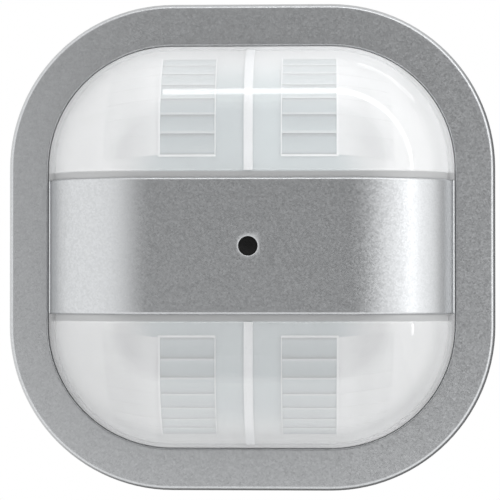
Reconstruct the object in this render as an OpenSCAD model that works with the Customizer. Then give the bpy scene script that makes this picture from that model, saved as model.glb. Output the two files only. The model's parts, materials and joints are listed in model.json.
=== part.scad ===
// Flush-mounted motion sensor light switch with a domed lens, in millimetres.
// Pieces are drawn on their back: x right, y up, z out of the wall, with the wall plane at z = 0.
// stand_up() then turns the drawing, so that the front faces -Y and the top faces +Z.

/* [Frame] */
// Width and height of the square face
face_w = 80; // [78:0.5:84]
// Radius of the face's corners
face_corner_r = 27; // [26:0.25:28]
// Width of the border seen round the lens
border_w = 6.6; // [6.2:0.1:7]
// Height of the border's inner edge above the wall
border_h = 9.4; // [9.2:0.1:11]
// Fall of the border from its inner edge to its outer edge
border_fall = 0.4; // [0:0.1:0.8]
// Thickness of the border at its outer edge
border_t = 1.6; // [1.3:0.1:2]
// Bevel on the border's edges
edge_bevel = 0.4; // [0.2:0.1:0.6]
// Thickness of the frame's side wall
skirt_t = 1.8; // [1.4:0.1:2]
// Gap between the frame and the wall
wall_gap = 0.3; // [0.1:0.1:0.8]

/* [Lens] */
// Gap between the lens and the border
lens_gap = 0.5; // [0.4:0.05:0.7]
// Rise of the lens above the border
lens_rise = 10; // [9:0.25:10.5]
// Radius of the dome's rounded shoulder
lens_arc_r = 13.5; // [13:0.25:15]
// Thickness of the lens
lens_wall = 1.2; // [1:0.1:1.5]
// Thickness of the flange under the border
flange_t = 1.2; // [1:0.1:1.5]
// Width of the flange that the border covers
flange_lip = 1; // [0.8:0.1:1.2]

/* [Facets] */
// Width of the rib between the left and right halves
rib_w = 1.45; // [1:0.05:2]
// Height of the rib on the lens's inner face
rib_h = 0.5; // [0.3:0.1:0.8]
// Half width of the plain column in the middle
plain_half = 5.4; // [4.5:0.1:6]
// Half width out to the end of the main facet columns
main_half = 14.2; // [13.5:0.1:15]
// Half width out to the end of the outer facet columns
outer_half = 23.6; // [22:0.2:24]
// Distance of the first facet row from the middle
first_row = 14.7; // [14.2:0.1:15.5]
// Height of the first facet row
row_pitch = 3.4; // [3:0.1:3.6]
// Height of each row as a share of the row before it
row_shrink = 0.91; // [0.88:0.01:0.92]
// Number of facet rows in each half
row_count = 7; // [4:1:7]
// Width of the grooves between facets
groove_w = 0.3; // [0.2:0.05:0.5]
// Depth of the grooves between facets
groove_d = 0.25; // [0.15:0.05:0.4]

/* [Band] */
// Height of the band across the lens
band_h = 22; // [20:0.5:22.5]
// Thickness of the band
band_t = 1.2; // [1:0.1:1.4]
// How far the band stands above the lens
band_proud = 0.6; // [0.4:0.1:0.8]
// Groove seen between the band and the lens
band_groove = 1.1; // [0.8:0.1:1.3]
// Gap between the band and the lens below it
band_lift = 0.1; // [0.05:0.05:0.2]
// Gap between the band's ends and the border
band_end_gap = 0.1; // [0.05:0.05:0.2]
// Reach of the band's hooks under the border
hook_reach = 0.8; // [0.6:0.1:0.9]
// Gap above and below the band's hooks
hook_gap = 0.1; // [0.05:0.05:0.2]
// Diameter of the black window
window_d = 3; // [2.5:0.1:4]
// Depth of the window below the band's face
window_recess = 0.3; // [0.1:0.1:0.6]
// Gap round the window
window_gap = 0.1; // [0.05:0.05:0.2]
// Diameter of the light guide's collar
collar_d = 4.8; // [4.4:0.1:6]
// Thickness of the light guide's collar
collar_t = 1.2; // [0.8:0.1:2]
// Gap between the light guide's end and the case lid
guide_gap = 0.4; // [0.3:0.1:0.8]

/* [Retainer] */
// Thickness of the retainer ring
retainer_t = 1.4; // [1.2:0.1:1.6]
// Width of the retainer ring
retainer_w = 6.5; // [6.2:0.1:6.8]
// Distance of each leg from the middle
leg_x = 12; // [10:0.5:12.5]
// Width of each leg
leg_w = 6; // [4:0.5:6.5]
// Thickness of each leg
leg_t = 1.6; // [1.2:0.1:1.8]
// Setback of the legs from the ring's inner edge
leg_inset = 0.3; // [0.2:0.1:0.5]
// Height of the legs' ends above the wall plane
leg_end = 0.1; // [0.05:0.05:0.4]
// Radius of the screw bosses on the frame
boss_r = 1.5; // [1.4:0.05:1.6]
// Radius of the retainer screws
retainer_screw_r = 0.9; // [0.8:0.05:1]
// Length of the retainer screws
retainer_screw_l = 3.3; // [2.4:0.1:3.4]
// Radius of the retainer screws' heads
retainer_head_r = 1.5; // [1.4:0.05:1.6]
// Height of the retainer screws' heads
retainer_head_h = 1.3; // [1:0.1:1.6]

/* [Support plate] */
// Thickness of the plate
plate_t = 1.2; // [1:0.1:1.3]
// Distance of the plate's edge inside the face's edge
plate_inset = 4.5; // [4:0.1:4.6]
// Distance between opposite wall box screws
box_pitch = 60; // [60:0.5:61]
// Width of the wall box screw slots
slot_w = 4.2; // [4:0.1:4.6]
// Length of the wall box screw slots
slot_l = 6.6; // [6:0.2:6.8]
// Height of the tapped collars on the plate's rear
tapped_h = 1.5; // [1:0.1:2]
// Radius of the tapped collars
tapped_r = 2.2; // [2:0.1:2.4]

/* [Claws] */
// Height of the claws below the middle
claw_drop = 9; // [8.5:0.25:10]
// Width of each claw
claw_w = 7; // [6.4:0.2:7.4]
// Thickness of each claw's side cheek
cheek_t = 1.5; // [1.2:0.1:1.5]
// Gap between the claw screws' heads and the case's flange
claw_head_gap = 0.6; // [0.4:0.1:1]
// Depth of the claw pin behind the wall plane
claw_pin_depth = 4; // [4:0.1:5]
// Radius of the claw pins
claw_pin_r = 1; // [0.9:0.05:1.1]
// Radius of the eye round the claw pin
eye_r = 1.8; // [1.7:0.05:1.9]
// Distance from the claw pin to the claw screw
claw_arm = 2.8; // [2.75:0.05:3]
// Length of the claw's leg
claw_leg_l = 14; // [12:0.5:16]
// Width of the claw's leg
claw_leg_w = 2.2; // [1.8:0.1:2.6]
// Lean of the claw's leg at rest
claw_lean = 18; // [17:0.5:20]
// Droop of the claw's bridge at rest
bridge_droop = 12; // [8:1:14]
// Thickness of the claw's bridge
bridge_t = 1.2; // [1:0.1:1.4]
// Height of the claw's toothed foot
foot_h = 2.8; // [2.4:0.2:4]
// Reach of the toothed foot from the leg's middle
foot_reach = 2.6; // [2.4:0.1:3]
// Depth of the teeth
tooth_h = 0.7; // [0.4:0.1:1]
// Thickness of the plate's ears
ear_t = 1.2; // [1:0.1:1.4]
// Radius of the claw screws
claw_screw_r = 1.5; // [1.3:0.05:1.5]
// Length of the claw screws
claw_screw_l = 20; // [17:0.5:22]
// Radius of the claw screws' heads
claw_head_r = 2.4; // [2.1:0.05:2.4]
// Height of the claw screws' heads
claw_head_h = 2; // [1.6:0.1:2.4]

/* [Case] */
// Width of the case
case_w = 36; // [35.5:0.25:36.5]
// Height of the case
case_h = 46; // [45:0.5:46.5]
// Depth of the case behind the wall plane
case_depth = 25; // [25:0.25:30]
// Cut across the case's corners
case_chamfer = 6; // [5.5:0.25:6.5]
// Thickness of the case's walls
case_wall = 1.6; // [1.4:0.1:1.8]
// Width of the case's flange at each side
flange_side = 2.4; // [2:0.1:2.6]
// Width of the case's flange at the top and bottom
flange_end = 2.9; // [2.4:0.1:3.2]
// Cut across the flange's corners
flange_chamfer = 2; // [1:0.25:2.5]
// Thickness of the rear case's flange
rear_flange_t = 1.5; // [1.3:0.1:1.8]
// Thickness of the front case's flange
front_flange_t = 1.5; // [1.3:0.1:1.6]
// Height of the case lid above the wall plane
lid_h = 9; // [8.8:0.1:10]
// Thickness of the case lid
lid_t = 1.4; // [1.2:0.1:1.6]
// Thickness of the lid's side walls
lid_wall = 1.4; // [1.2:0.1:1.5]
// Overhang of the lid past the rear case
lid_overhang = 0.6; // [0.4:0.1:0.7]
// Distance of the housing screws inside the case's sides
screw_side_inset = 0.6; // [0.4:0.1:1]
// Distance of the housing screws inside the case's top and bottom
screw_end_inset = 0.4; // [0:0.1:0.8]
// Radius of the housing screws
housing_screw_r = 1.25; // [1:0.05:1.5]
// Length of the housing screws
housing_screw_l = 5.6; // [4.6:0.1:6]
// Radius of the housing screws' heads
housing_head_r = 2.3; // [2:0.05:2.4]
// Height of the housing screws' heads
housing_head_h = 1.6; // [1.2:0.1:2]

/* [Boards] */
// Thickness of the circuit boards
board_t = 1.6; // [1.2:0.1:1.7]
// Depth of the power board's rear face behind the wall plane
power_depth = 4.6; // [4.2:0.1:5]
// Distance of the posts inside the case's sides
post_inset = 4.4; // [4.2:0.1:5]
// Distance of the upper posts below the case's top
upper_post_drop = 7.6; // [7.4:0.1:8.5]
// Gap between the lower posts and the terminals
lower_post_gap = 1; // [0.8:0.1:2.2]
// Radius of the posts under the power board
post_r = 2.2; // [2:0.1:2.3]
// Radius of the power board's screws
board_screw_r = 1.2; // [1:0.05:1.3]
// Length of the power board's screws
board_screw_l = 7; // [5:0.5:10]
// Radius of the power board's screw heads
board_head_r = 2.1; // [1.8:0.05:2.2]
// Height of the power board's screw heads
board_head_h = 1.5; // [1.2:0.1:1.8]
// Length of the row of pins between the boards
header_l = 13; // [10:0.5:15]
// Width of the row of pins between the boards
header_w = 2.5; // [2:0.1:3]
// Distance of the row of pins below the case's top
header_drop = 5.5; // [4.5:0.5:7]

/* [Sensors] */
// Distance of each heat sensor from the middle
pyro_x = 10; // [9:0.25:11]
// Radius of the heat sensors' cans
pyro_r = 4.1; // [3.8:0.1:4.3]
// Radius of the heat sensors' base rims
pyro_rim_r = 4.6; // [4.5:0.1:4.8]
// Thickness of the heat sensors' base rims
pyro_rim_t = 0.5; // [0.4:0.1:0.8]
// Height of the heat sensors above their spacers
pyro_h = 4.3; // [4.2:0.1:5]
// Radius of the spacers under the heat sensors
spacer_r = 4.3; // [4:0.1:4.5]
// Thickness of the spacers
spacer_t = 1.2; // [1:0.1:1.4]
// Width of the filter windows
filter_w = 4.2; // [3.5:0.1:5]
// Height of the filter windows
filter_h = 3.2; // [2.5:0.1:4]
// Thickness of the filter windows
filter_t = 0.5; // [0.3:0.1:0.7]
// Radius of the light hole in the lid
light_hole_r = 2; // [1.5:0.1:3]
// Width of the daylight sensor
photo_w = 3.2; // [2.6:0.1:4]
// Height of the daylight sensor's body
photo_h = 1.1; // [0.8:0.1:1.6]
// Diameter of the daylight sensor's eye
photo_eye_d = 1.6; // [1.2:0.1:2.2]
// Height of the daylight sensor's eye above its body
photo_eye_h = 0.5; // [0.3:0.1:0.8]
// Width of the control chip
chip_w = 7; // [5:0.5:8]
// Thickness of the control chip
chip_t = 1; // [0.8:0.1:1.5]
// Upward place of the control chip
chip_y = 10.5; // [9:0.5:12]

/* [Dials] */
// Distance between the dials
dial_pitch = 10; // [9:0.25:10]
// Distance of the dials above the case's bottom
dial_rise = 6; // [6:0.25:7]
// Radius of the dials
dial_r = 2.9; // [2.5:0.1:3]
// Height of the dials above the lid
dial_proud = 0.2; // [0:0.1:0.3]
// Width of the screwdriver slots in the dials
dial_slot_w = 0.8; // [0.6:0.1:1]
// Depth of the screwdriver slots in the dials
dial_slot_d = 0.7; // [0.4:0.1:0.9]
// Radius of the dials' shafts
dial_shaft_r = 1; // [0.8:0.05:1.3]
// Length of the dials' shafts
dial_shaft_l = 2.4; // [1.6:0.1:2.6]
// Width of the trimmer bodies
trimmer_w = 6.4; // [6:0.1:6.6]

/* [Power parts] */
// Gap between neighbouring power parts
part_gap = 0.6; // [0.4:0.1:0.8]
// Distance of the relay's and the film capacitor's middle below the upper posts
relay_drop = 4; // [3.4:0.1:5]
// Width of the relay
relay_w = 10; // [8:0.5:10.5]
// Length of the relay
relay_l = 15; // [12:0.5:16]
// Height of the relay
relay_h = 12; // [10:0.5:16]
// Width of the film capacitor
film_w = 7; // [5:0.5:7.5]
// Length of the film capacitor
film_l = 15; // [12:0.5:16]
// Height of the film capacitor
film_h = 11; // [9:0.5:14]
// Gap between the film capacitor and the round one
can_gap = 0.8; // [0.5:0.1:1.2]
// Height of the smoothing capacitor
can_h = 12; // [8:0.5:16]
// Thickness of the varistor
varistor_t = 3.2; // [2.5:0.1:4]
// Radius of the fuse
fuse_r = 2; // [1.5:0.1:2.5]
// Length of the fuse
fuse_l = 9; // [7:0.5:11]
// Length of the fuse's end caps
fuse_cap_l = 1.8; // [1.4:0.1:2.4]
// Thickness of the fuse's end caps
fuse_cap_t = 0.5; // [0.3:0.1:0.6]

/* [Terminals] */
// Distance between the wire terminals
terminal_pitch = 9; // [8.8:0.1:9.2]
// Radius of the wire holes
wire_r = 1.4; // [1.2:0.05:1.45]
// Length of the wire holes
wire_hole_l = 3; // [2.5:0.1:3.2]
// Thickness of each terminal body in front of its clamp
housing_front_t = 3.3; // [2.5:0.1:4]
// Thickness of each terminal body behind its clamp
housing_rear_t = 1.3; // [1.2:0.1:1.6]
// Thickness of each terminal body above its clamp
housing_inner_t = 2; // [1.8:0.1:2.2]
// Width of each clamp
cage_w = 6; // [5.6:0.1:6.2]
// Length of each clamp along the wire
cage_l = 6; // [5:0.1:6.2]
// Thickness of each clamp's side walls
cage_wall = 0.8; // [0.7:0.05:1]
// Thickness of each clamp's front wall
cage_front_t = 1; // [0.8:0.1:1.2]
// Thickness of each clamp's threaded wall
cage_nut_t = 1.6; // [1.4:0.1:2]
// Room for the wire in an open clamp
wire_room = 3; // [3:0.1:3.2]
// Travel of each clamp
cage_travel = 2.4; // [2:0.1:2.6]
// Gap behind the contact strip in an open clamp
nut_gap = 2.2; // [2:0.1:2.4]
// Thickness of the contact strips
bar_t = 1; // [0.8:0.1:1.2]
// Radius of the terminal screws
terminal_screw_r = 1.5; // [1.3:0.05:1.6]
// Radius of the terminal screws' heads
terminal_head_r = 2.1; // [1.9:0.05:2.4]
// Height of the terminal screws' heads
terminal_head_h = 1.6; // [1.2:0.1:1.8]
// Gap between a terminal screw's tip and the contact strip
tip_gap = 0.2; // [0.1:0.05:0.4]
// Radius of the screwdriver holes in the case's back
access_r = 2.6; // [2.4:0.1:3]

/* [Fits] */
// Gap between pieces that pass each other
fit_gap = 0.3; // [0.25:0.05:0.4]
// Radial gap round a turning shaft
shaft_gap = 0.06; // [0.03:0.01:0.09]
// Gap round a fixed screw, pin or inlaid piece
screw_gap = 0.05; // [0.02:0.01:0.1]

/* [Hidden] */
$fn = 64;
// Overlap that fuses one feature to the solid that carries it
bite = 0.2;
// Overshoot of a cut past the face that it opens
over = 1;

// All the rounded squares of the cover and plate share the axes of their corners
corner_axis = face_w / 2 - face_corner_r;
opening_r = face_corner_r - border_w;
skirt_in_r = face_corner_r - skirt_t;
border_rim = border_h - border_fall;
border_under = border_rim - border_t;

// Lens: a flat top that rolls over a quarter arc, down to a flange under the border
lens_top = border_h + lens_rise;
arc_z = lens_top - lens_arc_r;
lens_edge_r = opening_r - lens_gap;
arc_axis_r = lens_edge_r - sqrt(pow(lens_arc_r, 2) - pow(lens_arc_r - lens_rise, 2));
flat_half = corner_axis + arc_axis_r;
lens_in_arc = lens_arc_r - lens_wall;
flange_low = border_under - flange_t;
flange_r = opening_r + flange_lip;

// Band: an arc about the same axis, in a channel across the lens
band_out_arc = lens_arc_r + band_proud;
band_in_arc = band_out_arc - band_t;
channel_arc = band_in_arc - band_lift;
channel_in_arc = channel_arc - lens_wall;
channel_half = band_h / 2 + band_groove;
band_half_w = corner_axis + opening_r - band_end_gap;
hook_low = flange_low + hook_gap;
hook_high = border_under - hook_gap;
guide_r = window_d / 2;
guide_low = lid_h + guide_gap;
channel_under = arc_z + channel_in_arc;

// Retainer and its screws
retainer_low = flange_low - retainer_t;
retainer_out_r = skirt_in_r - fit_gap;
retainer_in_r = retainer_out_r - retainer_w;
boss_axis_r = (flange_r + skirt_in_r) / 2;
boss_bore_top = retainer_low + retainer_screw_l + bite;
leg_low_y = corner_axis + retainer_in_r + leg_inset;

// Plate, case and boards
housing_screw_x = case_w / 2 - screw_side_inset;
housing_screw_y = case_h / 2 - screw_end_inset;
plate_r = face_corner_r - plate_inset;
board_seat = plate_t + rear_flange_t;
flange_top = board_seat + front_flange_t;
board_front = board_seat + board_t;
lid_under = lid_h - lid_t;
case_back = -case_depth;
power_rear = -power_depth;
power_front = power_rear + board_t;

// Claws: drawn for the right side, about the pin's axis
claw_screw_x = case_w / 2 + flange_side + claw_head_gap + claw_head_r;
claw_pin_x = claw_screw_x - claw_arm;
claw_bar_in = (claw_arm + claw_screw_r + fit_gap - (claw_leg_l - foot_h) * sin(claw_lean)) / cos(claw_lean);
bridge_in = claw_arm / cos(bridge_droop) + claw_screw_r + bridge_t * tan(bridge_droop) + fit_gap;
ear_in = claw_w / 2 + fit_gap;

// Terminals, from the power board backwards and from the case's underside upwards
chamber_front = power_rear - housing_front_t;
cage_front = chamber_front - fit_gap;
bar_front = cage_front - cage_front_t - wire_room;
bar_rear = bar_front - bar_t;
nut_front = bar_rear - nut_gap;
cage_rear = nut_front - cage_nut_t;
chamber_rear = cage_rear - cage_travel - fit_gap;
housing_rear = chamber_rear - housing_rear_t;
wire_z = bar_front + wire_room / 2;
housing_low_y = -case_h / 2;
chamber_low_y = housing_low_y + wire_hole_l;
chamber_high_y = chamber_low_y + cage_l + 2 * fit_gap;
terminal_y = (chamber_low_y + chamber_high_y) / 2;
housing_high_y = chamber_high_y + housing_inner_t;
bar_w = cage_w - 2 * cage_wall - 2 * fit_gap;
bar_high_y = chamber_high_y + housing_inner_t / 2 + bar_t / 2;

// Dials and the trimmers that carry them
dial_drop = case_h / 2 - dial_rise;
dial_low = lid_under + screw_gap;
trimmer_top = dial_low - fit_gap;

// Places of the posts and parts behind the power board, each set against its neighbour
post_x = case_w / 2 - post_inset;
upper_post_y = case_h / 2 - upper_post_drop;
lower_post_y = housing_high_y + lower_post_gap + post_r;
header_y = case_h / 2 - header_drop;
relay_y = upper_post_y - relay_drop;
relay_x = post_r - post_x + part_gap + relay_w / 2;
film_x = relay_x + relay_w / 2 + part_gap + film_w / 2;
can_room = case_w / 2 - case_wall - part_gap;
can_r = (can_room - film_x - film_w / 2 - can_gap) / 2;
varistor_r = can_r;
can_x = can_room - can_r;
can_y = upper_post_y - post_r - part_gap - can_r;
cap_half = fuse_r + fuse_cap_t;
relay_at = [relay_x, relay_y];
film_at = [film_x, relay_y];
can_at = [can_x, can_y];
varistor_at = [can_x, can_y - can_r - part_gap - varistor_t / 2];
fuse_at = [relay_x, relay_y - relay_l / 2 - part_gap - cap_half];

// Finishes
silver_paint = "#98999b";
milky_white = "#dfe2e3";
smoked = "#1a1b1d";
pale_plastic = "#e8e8e4";
grey_plastic = "#6f7274";
zinc = "#b9bcc0";
brass = "#c9a552";
board_green = "#2f6b45";
black_plastic = "#26272a";

// Distance along the lens's profile, from its middle, to the start of facet row k
function row_arc(k) = first_row + row_pitch * (1 - pow(row_shrink, k)) / (1 - row_shrink);

// Height on the face of a point that lies a given distance along the lens's profile
function face_y(s) = s < flat_half
    ? s
    : flat_half + lens_arc_r * sin((s - flat_half) / lens_arc_r * 180 / PI);

// Turns the drawing upright, with its front towards -Y
module stand_up() {
    rotate([90, 0, 0]) children();
}

// Sweeps a profile, drawn from a corner's axis outwards, round the rounded square
module ring_sweep() {
    for (turn = [0 : 3]) {
        rotate(90 * turn) translate([corner_axis, corner_axis, 0]) {
            rotate_extrude(angle = 90) children();
            rotate([90, 0, 0]) linear_extrude(2 * corner_axis) children();
        }
    }
}

// Fills the middle of a swept profile that starts at the corner's axis
module slab_sweep(low, high) {
    ring_sweep() children();
    translate([-corner_axis, -corner_axis, low]) cube([2 * corner_axis, 2 * corner_axis, high - low]);
}

// Flat ring or slab with the rounded square's outline
module flat_ring(r_in, r_out, low, high) {
    ring_sweep() translate([r_in, low]) square([r_out - r_in, high - low]);
}

module flat_slab(r, low, high) {
    slab_sweep(low, high) translate([0, low]) square([r, high - low]);
}

// Children at the four corners, a given distance from each corner's axis
module at_corners(r) {
    reach = corner_axis + r / sqrt(2);
    for (turn = [0 : 3]) {
        rotate(90 * turn) translate([reach, reach, 0]) children();
    }
}

// Children at the four places made by mirroring a point sideways and upwards
module at_mirrored(x, y) {
    for (side = [-1, 1], rise = [-1, 1]) {
        translate([side * x, rise * y, 0]) children();
    }
}

// Rectangle with its corners cut at 45 degrees
module cut_rectangle(w, h, cut) {
    x = w / 2;
    y = h / 2;
    polygon([
        [x - cut, y], [x, y - cut], [x, cut - y], [x - cut, -y],
        [cut - x, -y], [-x, cut - y], [-x, y - cut], [cut - x, y]
    ]);
}

// Outline of the case, grown evenly by a given amount
module case_outline(grow) {
    cut_rectangle(case_w + 2 * grow, case_h + 2 * grow, case_chamfer + grow * (2 - sqrt(2)));
}

module case_block(grow, low, high) {
    translate([0, 0, low]) linear_extrude(high - low) case_outline(grow);
}

module case_flange(low, thickness) {
    translate([0, 0, low]) linear_extrude(thickness) {
        cut_rectangle(case_w + 2 * flange_side, case_h + 2 * flange_end, flange_chamfer);
    }
}

// Box given by its lowest and highest corners
module box_between(low, high) {
    translate(low) cube(high - low);
}

// Upright cylinder between two heights
module rod(r, low, high) {
    translate([0, 0, low]) cylinder(r = r, h = high - low);
}

// Screw with a cross recess: the head stands on z = 0 and the shank goes down
module screw(head_r, head_h, shank_r, shank_l) {
    recess_w = head_r / 3;
    recess_l = head_r * 1.3;
    difference() {
        union() {
            rod(head_r, 0, head_h);
            rod(shank_r, -shank_l, bite);
        }
        for (turn = [0, 90]) {
            rotate(turn) translate([0, 0, head_h]) cube([recess_l, recess_w, head_h], center = true);
        }
    }
}

// Half section of the dome, from its corner axis outwards and from a given height up
module dome_profile(arc_r, low) {
    top = arc_z + arc_r;
    intersection() {
        union() {
            square([arc_axis_r, top]);
            square([arc_axis_r + arc_r, arc_z]);
            translate([arc_axis_r, arc_z]) intersection() {
                circle(arc_r);
                square(arc_r);
            }
        }
        translate([0, low]) square([arc_axis_r + arc_r, top - low]);
    }
}

module dome(arc_r, low) {
    slab_sweep(low, arc_z + arc_r) dome_profile(arc_r, low);
}

// Both sides of the lens beyond a given distance above and below the middle
module beyond(y) {
    reach = face_w / 2;
    for (side = [0, 1]) {
        mirror([0, side, 0]) box_between([-reach, y, 0], [reach, reach, lens_top + over]);
    }
}

// Thin slabs along the edges of every facet
module facet_lines() {
    reach = face_w / 2;
    half = groove_w / 2;
    for (turn = [0, 180], side = [0, 1]) {
        rotate(turn) mirror([side, 0, 0]) {
            for (x = [plain_half, main_half, outer_half]) {
                box_between([x - half, first_row, border_under], [x + half, reach, lens_top]);
            }
            for (k = [0 : row_count]) {
                y = face_y(row_arc(k));
                box_between([plain_half, y - half, border_under], [outer_half, y + half, lens_top]);
            }
        }
    }
}

module front_frame() {
    color(silver_paint) stand_up() difference() {
        union() {
            ring_sweep() polygon([
                [skirt_in_r, wall_gap], [face_corner_r, wall_gap],
                [face_corner_r, border_rim - edge_bevel], [face_corner_r - edge_bevel, border_rim],
                [opening_r + edge_bevel, border_h], [opening_r, border_h - edge_bevel],
                [opening_r, border_under], [skirt_in_r, border_under]
            ]);
            at_corners(boss_axis_r) rod(boss_r, flange_low, border_under + bite);
        }
        at_corners(boss_axis_r) rod(retainer_screw_r + screw_gap, flange_low - over, boss_bore_top);
    }
}

module lens_shell() {
    difference() {
        union() {
            dome(lens_arc_r, flange_low);
            flat_slab(flange_r, flange_low, border_under);
        }
        difference() {
            box_between([-face_w / 2, -channel_half, 0], [face_w / 2, channel_half, lens_top + over]);
            dome(channel_arc, flange_low - over);
        }
        dome(channel_in_arc, flange_low - over);
        intersection() {
            dome(lens_in_arc, flange_low - over);
            beyond(channel_half + lens_wall);
        }
        intersection() {
            dome(lens_in_arc + groove_d, border_under);
            facet_lines();
        }
        cylinder(r = guide_r + window_gap, h = lens_top + over);
    }
}

module lens_rib() {
    intersection() {
        difference() {
            dome(lens_in_arc + bite, border_under);
            dome(lens_in_arc - rib_h, border_under - over);
        }
        beyond(channel_half + lens_wall - bite);
        box_between([-rib_w / 2, -face_w / 2, 0], [rib_w / 2, face_w / 2, lens_top]);
    }
}

module fresnel_lens() {
    color(milky_white) stand_up() {
        lens_shell();
        lens_rib();
    }
}

// Section of the band's arch, seen from below
module arch_section(arc_r, low) {
    for (side = [0, 1]) {
        mirror([side, 0]) translate([corner_axis, 0]) dome_profile(arc_r, low);
    }
    translate([-corner_axis, low]) square([2 * corner_axis, arc_z + arc_r - low]);
}

module centre_band() {
    hook_in = band_half_w - bite;
    hook_out = band_half_w + band_end_gap + hook_reach;
    color(silver_paint) stand_up() {
        difference() {
            rotate([90, 0, 0]) linear_extrude(band_h, center = true) difference() {
                intersection() {
                    arch_section(band_out_arc, hook_low);
                    translate([-band_half_w, 0]) square([2 * band_half_w, lens_top + over]);
                }
                arch_section(band_in_arc, hook_low - over);
            }
            rod(guide_r + window_gap, channel_under, lens_top + over);
        }
        for (side = [0, 1]) {
            mirror([side, 0, 0]) {
                box_between([hook_in, -band_h / 2, hook_low], [hook_out, band_h / 2, hook_high]);
            }
        }
    }
}

module light_guide() {
    color(smoked) stand_up() {
        rod(guide_r, guide_low, arc_z + band_out_arc - window_recess);
        rod(collar_d / 2, channel_under - collar_t, channel_under);
    }
}

module lens_retainer() {
    color(grey_plastic) stand_up() {
        difference() {
            flat_ring(retainer_in_r, retainer_out_r, retainer_low, flange_low);
            at_corners(boss_axis_r) {
                rod(retainer_screw_r + screw_gap, retainer_low - over, flange_low + over);
            }
        }
        at_mirrored(leg_x, leg_low_y + leg_t / 2) {
            box_between([-leg_w / 2, -leg_t / 2, leg_end], [leg_w / 2, leg_t / 2, retainer_low + bite]);
        }
    }
}

module retainer_screws() {
    color(zinc) stand_up() at_corners(boss_axis_r) translate([0, 0, retainer_low]) {
        rotate([180, 0, 0]) screw(retainer_head_r, retainer_head_h, retainer_screw_r, retainer_screw_l);
    }
}

// Slot for a wall box screw, along the line from the middle
module box_slot() {
    run = slot_l / 2 - slot_w / 2;
    translate([-run, -slot_w / 2, -over]) cube([2 * run, slot_w, plate_t + 2 * over]);
    for (end = [-run, run]) {
        translate([end, 0, 0]) rod(slot_w / 2, -over, plate_t + over);
    }
}

// Children on both sides, at the pin's axis, with y along the pin
module at_claws() {
    for (side = [0, 1]) {
        mirror([side, 0, 0]) translate([claw_pin_x, -claw_drop, -claw_pin_depth]) children();
    }
}

// A claw's side view extruded along the pin, from one place to another
module along_pin(from, to) {
    translate([0, to, 0]) rotate([90, 0, 0]) linear_extrude(to - from) children();
}

module ear_pair() {
    for (from = [-ear_in - ear_t, ear_in]) {
        along_pin(from, from + ear_t) difference() {
            union() {
                circle(eye_r);
                translate([-eye_r, 0]) square([2 * eye_r, claw_pin_depth + bite]);
            }
            circle(claw_pin_r + screw_gap);
        }
    }
}

module support_plate() {
    color(zinc) stand_up() difference() {
        union() {
            flat_slab(plate_r, 0, plate_t);
            at_claws() ear_pair();
            at_mirrored(housing_screw_x, housing_screw_y) rod(tapped_r, -tapped_h, bite);
        }
        case_block(fit_gap, -over, plate_t + over);
        for (turn = [0 : 3]) {
            rotate(90 * turn) translate([box_pitch / 2, 0, 0]) box_slot();
        }
        at_mirrored(leg_x, leg_low_y + leg_t / 2) {
            half = [leg_w / 2 + fit_gap, leg_t / 2 + fit_gap, 0];
            box_between([0, 0, -over] - half, [0, 0, plate_t + over] + half);
        }
        for (side = [-1, 1]) {
            translate([side * claw_screw_x, -claw_drop, 0]) {
                rod(claw_screw_r + shaft_gap, -over, plate_t + over);
            }
        }
        at_mirrored(housing_screw_x, housing_screw_y) {
            rod(housing_screw_r + screw_gap, -tapped_h - over, plate_t + over);
        }
    }
}

module claw_pins() {
    reach = ear_in + ear_t + bite;
    color(zinc) stand_up() at_claws() along_pin(-reach, reach) circle(claw_pin_r);
}

// Side view of a claw's cheek: eye, leg, foot and the arm of the bridge
module cheek_view() {
    circle(eye_r);
    rotate(claw_lean) {
        translate([-claw_leg_w / 2, -claw_leg_l]) square([claw_leg_w, claw_leg_l]);
        translate([-claw_leg_w / 2, -claw_leg_l]) square([claw_leg_w / 2 + foot_reach, foot_h]);
    }
    rotate(-bridge_droop) translate([0, -bridge_t / 2]) square([bridge_in + bridge_t, bridge_t]);
}

// Side view of the bars that join the two cheeks
module bar_view() {
    rotate(claw_lean) {
        translate([claw_bar_in, -claw_leg_l]) square([foot_reach - claw_bar_in, foot_h]);
        translate([foot_reach - bite, -claw_leg_l]) {
            polygon([[0, 0], [bite + tooth_h, 0], [0, foot_h / 2]]);
        }
    }
    rotate(-bridge_droop) translate([bridge_in, -bridge_t / 2]) square([bridge_t, bridge_t]);
}

// Right claw, drawn about its pin
module claw() {
    half = claw_w / 2;
    difference() {
        union() {
            for (from = [-half, half - cheek_t]) {
                along_pin(from, from + cheek_t) cheek_view();
            }
            along_pin(-half, half) bar_view();
        }
        along_pin(-half - over, half + over) circle(claw_pin_r + shaft_gap);
    }
}

module claw_on(side) {
    color(zinc) stand_up() mirror([side, 0, 0]) translate([claw_pin_x, -claw_drop, -claw_pin_depth]) claw();
}

module claw_screw_on(side) {
    color(zinc) stand_up() translate([side * claw_screw_x, -claw_drop, plate_t + screw_gap]) {
        screw(claw_head_r, claw_head_h, claw_screw_r, claw_screw_l);
    }
}

module left_claw() {
    claw_on(1);
}

module right_claw() {
    claw_on(0);
}

module left_claw_screw() {
    claw_screw_on(-1);
}

module right_claw_screw() {
    claw_screw_on(1);
}

// Children at the four posts under the power board
module at_posts() {
    for (side = [-1, 1], y = [lower_post_y, upper_post_y]) {
        translate([side * post_x, y, 0]) children();
    }
}

// Screw holes through both flanges
module housing_screw_holes() {
    at_mirrored(housing_screw_x, housing_screw_y) {
        rod(housing_screw_r + screw_gap, plate_t - over, flange_top + over);
    }
}

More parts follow.
